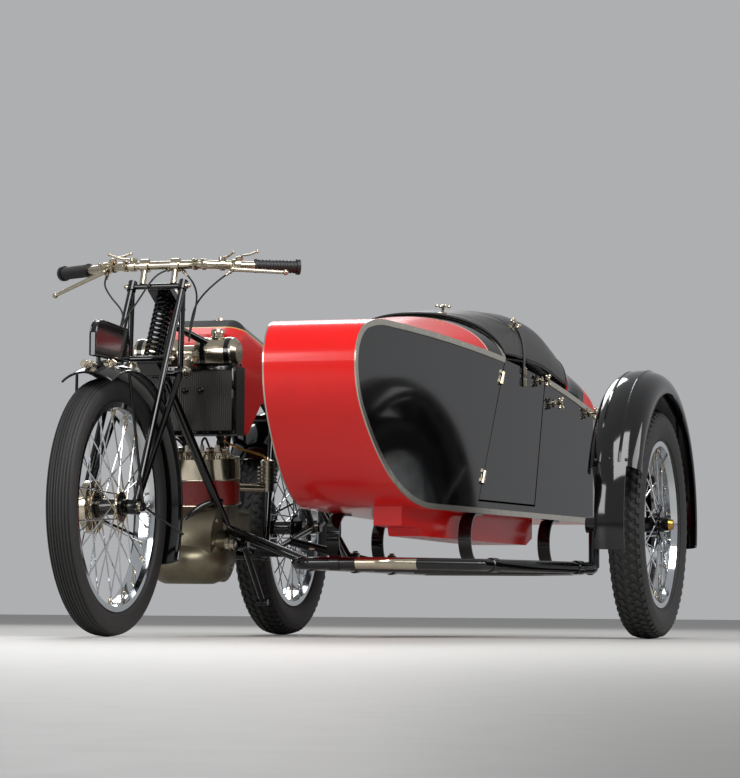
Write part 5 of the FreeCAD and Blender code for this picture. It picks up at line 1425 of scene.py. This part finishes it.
@dataclass
class EngineBolts:
    """Bolts round the cast box and the crankcase, the carburettor's cap and a union, in millimetres."""

    box: tuple[float, float, float] = (-665.0, 0.0, 330.0)
    box_reach: tuple[float, float] = (60.0, 82.0)
    box_bolts: int = 6
    case: tuple[float, float, float] = (-650.0, 0.0, 262.0)
    case_radius: float = 92.0
    case_half: float = 87.6
    case_bolts: int = 8
    case_size: float = 0.8
    box_fan_deg: float = 60.0
    bowl: tuple[float, float, float] = (-795.0, 168.0, 500.0)
    union: tuple[float, float, float] = (-600.0, 116.0, 262.0)

    def build(self, wardrobe: Wardrobe) -> None:
        """Make the bolts.

        Args:
            wardrobe: gives the finishes.
        """
        spread = np.radians(np.linspace(-self.box_fan_deg, self.box_fan_deg, self.box_bolts))
        deep, wide = self.box_reach
        bolts = Shape().stamp(HEX_BOLT, self.box + stacked(deep * np.cos(spread), wide * np.sin(spread), 0.0),
                              stacked(wide * np.cos(spread), deep * np.sin(spread), 0.0))
        for side in SIDES:
            ring = self.case + upright(around(self.case_bolts), self.case_radius, side * self.case_half)
            bolts.stamp(HEX_BOLT * self.case_size, ring, (0.0, side, 0.0))
        cap = turned([(0, 0), (21, 0), (21, 7), (16, 10), (7, 12), (5, 18), (0, 19)], 20)
        union = turned([(0, 0), (20, 0), (20, 10), (16, 12), (16, 24), (0, 26)], 8)
        bolts.stamp(cap, self.bowl, UP).stamp(union, self.union, LEFT)
        wardrobe.dress(bolts, "engine_bolts", "frame", Slot.NICKEL)


@dataclass
class Saddle:
    """Sprung leather saddle and the two cushions inside the sidecar, sizes in millimetres."""

    rear_x: float = -1386.0
    nose_x: float = -1100.0
    low_z: float = 741.0
    nose_half: float = 38.0
    spread: float = 76.0
    thick: float = 56.0
    waist: float = 15.0
    waist_speed: float = 1.15
    taper: tuple[float, float] = (0.12, 0.72)
    end_share: float = 0.25
    round_side: float = 0.8
    round_top: float = 0.75
    round_under: float = 0.4
    middle_share: float = 0.35
    upper_share: float = 0.62
    dip: float = 5.0
    dip_half: float = 14.0
    rows: int = 60
    columns: int = 64
    channels: float = 6.0
    channel_depth: float = 0.09
    channel_share: float = 0.16
    pad_square: float = 0.28
    pad_flat: float = 0.42

    def cover(self) -> np.ndarray:
        """Leather pan: flattened ovals, wide behind, narrow at the nose and dipped in the middle.

        Returns:
            Grid in millimetres.
        """
        u = np.linspace(0.0, 1.0, self.rows)[:, None]
        turn = around(self.columns)[None, :]
        end = np.sqrt(np.clip(1.0 - (2.0 * u - 1.0) ** 10, 0.0, 1.0))
        start, length = self.taper
        wide = 0.5 + 0.5 * np.cos(np.pi * np.clip((u - start) / length, 0.0, 1.0))
        y = (self.nose_half + self.spread * wide) * end * power(np.cos(turn), self.round_side)
        tall = self.thick - self.waist * np.sin(np.pi * np.clip(u * self.waist_speed, 0.0, 1.0))
        tall = tall * (self.end_share + (1.0 - self.end_share) * end)
        upper = np.sin(turn) > 0.0
        under = 0.5 * power(np.sin(turn), self.round_under)
        level = np.where(upper, power(np.sin(turn), self.round_top), under)
        dip = self.dip * np.exp(-(y / self.dip_half) ** 2) * upper * end
        z = self.low_z + tall * (self.middle_share + self.upper_share * level) - dip
        return stacked(self.rear_x + (self.nose_x - self.rear_x) * u, y, z)

    def pad(self, low: Points, high: Points) -> np.ndarray:
        """Cushion between two corners: a rounded block whose top swells between sewn channels.

        Args:
            low: lowest corner.
            high: highest corner.

        Returns:
            Grid in millimetres.
        """
        low, high = np.array(low), np.array(high)
        v = np.linspace(-np.pi / 2.0, np.pi / 2.0, 48)[:, None]
        u = around(96)[None, :]
        girth = power(np.cos(v), self.pad_square)
        ball = stacked(girth * power(np.cos(u), self.pad_square), girth * power(np.sin(u), self.pad_square),
                       power(np.sin(v), self.pad_flat))
        channel = np.abs(np.cos(0.5 * np.pi * self.channels * (ball[..., 1:2] + 1.0)))
        swell = 1.0 - self.channel_depth * np.exp(-(channel / self.channel_share) ** 2)
        return (low + high) / 2.0 + ball * swell * (high - low) / 2.0

    def build(self, wardrobe: Wardrobe) -> None:
        """Make the saddle and both cushions; the one of the back is a flat one stood upright.

        Args:
            wardrobe: gives the finishes.
        """
        low, high = node_box("seat_back")
        lying = self.pad((-high[2], low[1], low[0]), (-low[2], high[1], high[0]))
        standing = stacked(lying[..., 2], lying[..., 1], -lying[..., 0])
        for points, name, node in ((self.cover(), "leather_saddle", "saddle"),
                                   (self.pad(*node_box("seat_cushion")), "passenger_cushion", "seat_cushion"),
                                   (standing, "passenger_back", "seat_back")):
            piece = wardrobe.dress(Shape().add(place(points)), name, "frame", Slot.LEATHER, replaced=(node,))


@dataclass
class BodyForm:
    """Outline of the sidecar body: half width and height of its top edge, sizes in millimetres.

    The top edge is arcs, each with a radius and an angle, one after the other from the nose.
    """

    middle_y: float = 555.0
    nose: tuple[float, float] = (-22.0, 730.0)
    nose_half: float = 126.3
    flare: float = 0.105
    wide_x: float = -1880.0
    arcs: tuple[tuple[float, float], ...] = ((114.0, 75.0), (441.0, 15.0), (12300.0, 4.2), (5400.0, 11.1))

    def half(self, x: Numbers) -> np.ndarray:
        """Half width at a place along the body."""
        return self.nose_half + self.flare * (self.nose[0] - np.maximum(x, self.wide_x))

    def top(self, x: Numbers) -> np.ndarray:
        """Height of the top edge: the arcs of its outline, one after the other from the nose.

        Args:
            x: places along the body.

        Returns:
            Heights.
        """
        (spot, height), angle = self.nose, 90.0
        result = np.full(np.shape(x), height, float)
        for radius, turn in self.arcs:
            centre_x = spot - radius * math.sin(math.radians(angle))
            centre_z = height + radius * math.cos(math.radians(angle))
            reach = np.clip(radius ** 2 - (x - centre_x) ** 2, 0.0, None)
            result = np.where(x <= spot, centre_z + np.sqrt(reach), result)
            angle += turn
            spot = centre_x + radius * math.sin(math.radians(angle))
            height = centre_z - radius * math.cos(math.radians(angle))
        return result

    def outward(self, side: float) -> np.ndarray:
        """Direction out of a side panel, level and a little forward as the body is flared."""
        return unit((0.104, side * 0.995, 0.0))

    def edge(self, x: Numbers, side: float, out: float, down: float) -> np.ndarray:
        """Point beside a side panel, at a distance out of it and below its top edge."""
        return stacked(x, self.middle_y + side * (self.half(x) + out), self.top(x) - down)


@dataclass
class CockpitCover:
    """Duck cover over the cockpit, with its hem, turn buttons and straps, sizes in millimetres.

    A station is a place along the body, the cloth's rise there, and how full and how steep its section is; a
    button is a place along the body and a share of the half width, or a drop below the panel's top edge.
    """

    form: BodyForm = field(default_factory=BodyForm)
    lift: float = 7.3
    rear_x: float = -1634.0
    crown: tuple[float, float] = (-930.0, 940.0)
    slope: float = 1.42
    behind: float = 24.2
    thickness: float = 1.6
    rows: int = 110
    columns: int = 121
    stations: tuple[tuple[float, float, float, float], ...] = (
        (-870.0, 96.0, 2.3, 0.55), (-1000.0, 112.0, 2.5, 0.5), (-1240.0, 161.0, 3.0, 0.33),
        (-1440.0, 181.0, 3.4, 0.3), (-1560.0, 162.0, 3.2, 0.32), (-1635.0, 132.0, 3.2, 0.32))
    buttons: tuple[tuple[float, float], ...] = (
        (-1035.0, 0.3), (-1225.0, 0.9), (-1225.0, -0.9), (-1615.0, 0.4), (-1615.0, -0.4))
    panel_buttons: tuple[tuple[float, float], ...] = ((-1412.0, 16.0), (-1526.0, 62.0), (-1846.0, 14.0))
    pull: float = 2.6
    pull_reach: float = 85.0
    pull_folds: float = 7.0
    pit: float = 2.2
    pit_reach: float = 16.0
    ripple: float = 0.9
    ripple_lengths: tuple[float, float] = (61.0, 140.0)
    ripple_turns: tuple[float, float] = (2.2, 3.0)
    fold_limits: tuple[float, float] = (-3.5, 4.0)
    edge_steps: int = 30
    hem_radius: float = 2.6
    button_out: float = 2.4
    arm_place: tuple[float, float] = (18.0, 12.0)
    tip_place: tuple[float, float] = (20.5, 19.0)
    arm_line: tuple[float, float, float] = (0.8, 0.0, 0.6)
    strap_x: float = -1262.0
    strap_out: float = 1.8
    strap_lift: float = 2.2
    strap_drops: tuple[float, ...] = (-1.0, 30.0, 62.0)
    buckle_out: float = 3.0
    buckle_wire: float = 1.8
    prong_wire: float = 1.4
    prong_half: float = 10.0
    prong_out: tuple[float, float] = (3.4, 3.8)
    strap_reaches: tuple[float, ...] = (0.9, 0.95, 0.985, 0.999)
    strap_section: tuple[tuple[float, float], ...] = ((-1.2, -9.0), (-1.2, 9.0), (1.2, 9.0), (1.2, -9.0))
    buckle_ring: tuple[tuple[float, float], ...] = ((-13, -10), (13, -10), (13, 10), (-13, 10))
    buckle_drops: tuple[float, ...] = (14.0, 48.0)

    def height(self, x: np.ndarray, reach: np.ndarray) -> np.ndarray:
        """Height of the cloth: the top edge plus a rise that is full at the sides, from smoothed stations."""
        table = smooth(self.stations, 120)[::-1]
        rise, full, steep = (np.interp(x, table[:, 0], table[:, k]) for k in (1, 2, 3))
        return self.form.top(x) + self.lift + rise * (1.0 - np.abs(reach) ** full) ** steep

    def point(self, x: Numbers, reach: Numbers) -> np.ndarray:
        """Place of the cloth at a distance along the body and a share of its half width, in millimetres."""
        return stacked(x, self.form.middle_y + self.form.half(x) * reach, self.height(x, reach))

    def grid(self) -> np.ndarray:
        """Cloth from the coaming's slanted plane back to the tail deck, in fine folds towards its buttons.

        The front edge is found by steps, each from the height of the cloth at the edge before it.

        Returns:
            Grid in millimetres.
        """
        turn = np.linspace(-np.pi / 2.0, np.pi / 2.0, self.columns)[None, :]
        reach = np.sin(turn) * 0.9999
        front = np.full(self.columns, -1000.0)[None, :]
        for _ in range(self.edge_steps):
            front = self.crown[0] - self.slope * (self.crown[1] - self.height(front, reach)) - self.behind
        share = np.linspace(0.0, 1.0, self.rows)[:, None]
        x = front + (self.rear_x - front) * share
        points = self.point(x, reach)
        waves = (x / length + turns * reach for length, turns in zip(self.ripple_lengths, self.ripple_turns))
        fold = self.ripple * np.prod([np.sin(wave) for wave in waves], axis=0)
        for button in self.buttons:
            apart = points - self.point(*button)
            far = np.linalg.norm(apart, axis=2)
            angle = np.arctan2(apart[..., 0], apart[..., 2] + np.abs(apart[..., 1]) * 0.5 + 1.0)
            fold += self.pull * np.exp(-far / self.pull_reach) * np.cos(self.pull_folds * angle)
            fold -= self.pit * np.exp(-(far / self.pit_reach) ** 2)
        fade = np.sin(np.pi * np.clip(share, 0.02, 0.98)) ** 0.3
        points[..., 2] += np.clip(fold, *self.fold_limits) * fade
        return points

    def build(self, wardrobe: Wardrobe) -> None:
        """Make the cloth, its hem, its buttons and its straps.

        Args:
            wardrobe: gives the finishes.
        """
        points = self.grid()
        weave = Shape().add(place(points), close_columns=False)
        cloth = wardrobe.dress(weave, "duck_cover", "frame", Slot.CLOTH, replaced=("cockpit_cover",),
                               sharp_deg=80.0)
        thick = cloth.modifiers.new("cloth_thickness", "SOLIDIFY")
        thick.thickness, thick.offset = self.thickness * MM, -1.0
        hem = Shape()
        for edge in (points[1], points[-2], points[:, 1], points[:, -2]):
            hem.run(edge + (0.0, 0.0, 0.6), self.hem_radius, reference=(0.2, 0.3, 1.0))
        hem_piece = wardrobe.dress(hem, "cover_hem", "frame", Slot.CLOTH)
        button_piece = wardrobe.dress(self.fasteners(), "turn_buttons", "frame", Slot.NICKEL)
        self.straps(wardrobe)

    def normal(self, x: float, reach: float) -> np.ndarray:
        """Direction out of the cloth, from two short steps along it.

        Args:
            x: place along the body.
            reach: share of the half width.

        Returns:
            Vector of length one that points up.
        """
        here = self.point(x, reach)
        ahead = self.point(x + 4.0, reach) - here
        aside = self.point(x, reach - math.copysign(0.01, reach)) - here
        out = np.cross(ahead, aside)
        return unit(out * math.copysign(1.0, out[2]))

    def fasteners(self) -> Shape:
        """Turn buttons: a round plate, a post and a cross handle each.

        Returns:
            The buttons.
        """
        shape = Shape()
        plate = turned([(0, -1), (13, -1), (13, 1.4), (10, 2.6), (4.5, 3), (4.5, 17), (6, 19), (6, 24),
                        (0, 26)], 16)
        tip = turned([(0, -4.5), (4, -4), (6, 0), (4, 4), (0, 4.5)], 10)
        handle = slab(15.0, 8.5, 5.0, 2.0)
        seats = [(self.point(*button), self.normal(*button)) for button in self.buttons]
        seats += [(self.form.edge(x, side, self.button_out, drop), self.form.outward(side))
                  for x, drop in self.panel_buttons for side in (1.0, -1.0)]
        for spot, out in seats:
            shape.stamp(plate, spot, out)
            arms = frames(place(spot), out, self.arm_line)[0]
            for along in (arms[:3, 0], -arms[:3, 0], arms[:3, 1], -arms[:3, 1]):
                line = np.array([out, along])
                shape.stamp(handle, spot + self.arm_place @ line, out, along)
                shape.stamp(tip, spot + self.tip_place @ line, out)
        return shape

    def straps(self, wardrobe: Wardrobe) -> None:
        """Leather strap over each side of the cover down to the panel, with two roller buckles.

        Args:
            wardrobe: gives the finishes.
        """
        leather, metal = Shape(), Shape()
        ring = outlined(np.array(self.buckle_ring, float))
        for side in (1.0, -1.0):
            over = self.point(self.strap_x, side * np.array(self.strap_reaches))
            over = over + self.normal(self.strap_x, side * self.strap_reaches[1]) * self.strap_lift
            down = [self.form.edge(self.strap_x, side, self.strap_out, drop) for drop in self.strap_drops]
            path = smooth([*over, *down], 40)
            leather.run(path, 1.0, reference=AHEAD, section=np.array(self.strap_section))
            for drop in self.buckle_drops:
                middle = self.form.edge(self.strap_x, side, self.strap_out, drop)
                metal.run(middle + stacked(ring[:, 0], side * self.buckle_out, ring[:, 1]), self.buckle_wire,
                          loop=True)
                foot, back = self.prong_out
                tall = self.prong_half * np.array([-1.0, 0.0, 1.0])
                prong = stacked(0.0, side * np.array([foot, back, foot]), tall)
                metal.run(middle + prong, self.prong_wire, reference=AHEAD)
        wardrobe.dress(leather, "cover_straps", "frame", Slot.LEATHER)
        wardrobe.dress(metal, "strap_buckles", "frame", Slot.NICKEL)


@dataclass
class ChassisTrim:
    """Clamps, bolts and footrest rubbers under the machine and the sidecar, sizes in millimetres.

    A joint of the outer run is its bend, the bend after it and the share of the way between them.
    """

    rail_y: float = 372.0
    rail_clamps: tuple[float, ...] = (-600.0, -1360.0, -1000.0)
    corner: tuple[float, float, float] = (-430.0, 500.0, RAIL_Z)
    run: tuple[tuple[float, float], ...] = ((-640.0, 850.0), (-1160.0, 1052.0), (-1560.0, 900.0))
    joints: tuple[tuple[int, int, float], ...] = ((0, 1, 0.12), (0, 1, 0.86), (1, 2, 0.2))
    eye_bolts: tuple[tuple[float, float], ...] = (
        (-912.0, -900.0), (-936.0, -900.0), (-1552.0, -1540.0), (-1576.0, -1540.0))
    eye_inset: float = 20.0
    eye_up: float = 18.0
    eye_size: float = 0.9
    lug_up: float = 14.0
    bolt_up: float = 40.0
    rubber_reach: tuple[float, float] = (128.0, 208.0)
    rubber_ribs: int = 12
    rubber: tuple[float, float] = (-860.0, 243.0)
    form: BodyForm = field(default_factory=BodyForm)

    def build(self, wardrobe: Wardrobe) -> None:
        """Make the clamps, bolts and rubbers.

        Args:
            wardrobe: gives the finishes.
        """
        band = turned([(17.4, -15), (20.5, -14), (20.5, 14), (17.4, 15)])
        lug = slab(26.0, 22.0, 26.0, 3.0)
        spots = stacked(self.rail_clamps, self.rail_y, RAIL_Z)
        clamps = Shape().stamp(band, spots, AHEAD).stamp(lug, spots + (0.0, 0.0, self.lug_up), UP, AHEAD)
        clamps.stamp(band, self.corner, LEFT)
        bends = stacked(*np.array(self.run).T, RAIL_Z)
        for first, second, share in self.joints:
            line = bends[second] - bends[first]
            clamps.stamp(band, bends[first] + line * share, line)
        wardrobe.dress(clamps, "chassis_clamps", "frame", Slot.BLACK)
        bolts = Shape()
        for x, spring_x in self.eye_bolts:
            for side in SIDES:
                y = self.form.middle_y + side * (self.form.half(spring_x) - self.eye_inset)
                bolts.stamp(HEX_BOLT * self.eye_size, (x, y, RAIL_Z + self.eye_up), UP)
        bolts.stamp(HEX_BOLT, spots + (0.0, 0.0, self.bolt_up), UP)
        wardrobe.dress(bolts, "chassis_bolts", "frame", Slot.NICKEL)
        rubbers = Shape()
        ring = turned([(11.0, -3), (13.4, -1.6), (13.4, 1.6), (11.0, 3)], 20)
        for side in SIDES:
            y = side * np.linspace(*self.rubber_reach, self.rubber_ribs)
            rubbers.stamp(ring, stacked(self.rubber[0], y, self.rubber[1]), LEFT)
        wardrobe.dress(rubbers, "footrest_rubbers", "frame", Slot.GRIP)


@dataclass
class TankTrim:
    """Milled edge of the filler cap, fuel pipe, and screws along the sidecar's mouldings, in millimetres."""

    ridges: int = 36
    ridge_radius: float = 29.6
    ridge_drop: float = 10.5
    screws: int = 7
    screw_ends: tuple[float, float] = (-330.0, -860.0)
    screw_out: float = 3.6
    screw_drop: float = 8.0
    pipe_radius: float = 3.4
    pipe: tuple[tuple[float, float, float], ...] = (
        (-700, 60, 592), (-702, 72, 560), (-740, 110, 538), (-786, 150, 524), (-795, 166, 512))
    form: BodyForm = field(default_factory=BodyForm)

    def build(self, wardrobe: Wardrobe) -> None:
        """Make the trim of the tank and of the body.

        Args:
            wardrobe: gives the finishes.
        """
        low, high = node_box("filler_cap")
        top = np.array([(low[0] + high[0]) / 2.0, (low[1] + high[1]) / 2.0, high[2]])
        turn = around(self.ridges)
        milled = top + stacked(*self.ridge_radius * np.array([np.cos(turn), np.sin(turn)]), -self.ridge_drop)
        metal = Shape().stamp(slab(2.4, 2.4, 9.0, 0.5), milled, UP)
        metal.stamp(turned([(0, -2), (24, -2), (22, 2), (8, 4), (7, 9), (0, 10)], 30), top, UP)
        wardrobe.dress(metal, "filler_ridges", "frame", Slot.NICKEL)
        screws = Shape()
        head = turned([(0, 0), (3.4, 0), (3.0, 1.0), (0, 1.4)], 12)
        x = np.linspace(*self.screw_ends, self.screws)
        for side in SIDES:
            spots = self.form.edge(x, side, self.screw_out, self.screw_drop)
            screws.stamp(head, spots, self.form.outward(side))
        wardrobe.dress(screws, "moulding_screws", "frame", Slot.POLISHED)
        pipe = Shape().run(smooth(self.pipe, 40), self.pipe_radius, 10, (0.0, 1.0, 0.2))
        wardrobe.dress(pipe, "fuel_pipe", "frame", Slot.BRASS)


def main() -> None:
    """Build the studio, the finishes and every added piece."""
    logging.basicConfig(level=logging.INFO)
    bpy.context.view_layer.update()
    Studio().build()
    wardrobe = Wardrobe()
    wardrobe.dress_frame()
    for maker in (*WHEELS, ForkTrim(), GuardTrim(), Engine(), Radiator(), EngineBolts(), Saddle(),
                  CockpitCover(), ChassisTrim(), TankTrim()):
        maker.build(wardrobe)


if __name__ == "__main__":
    main()
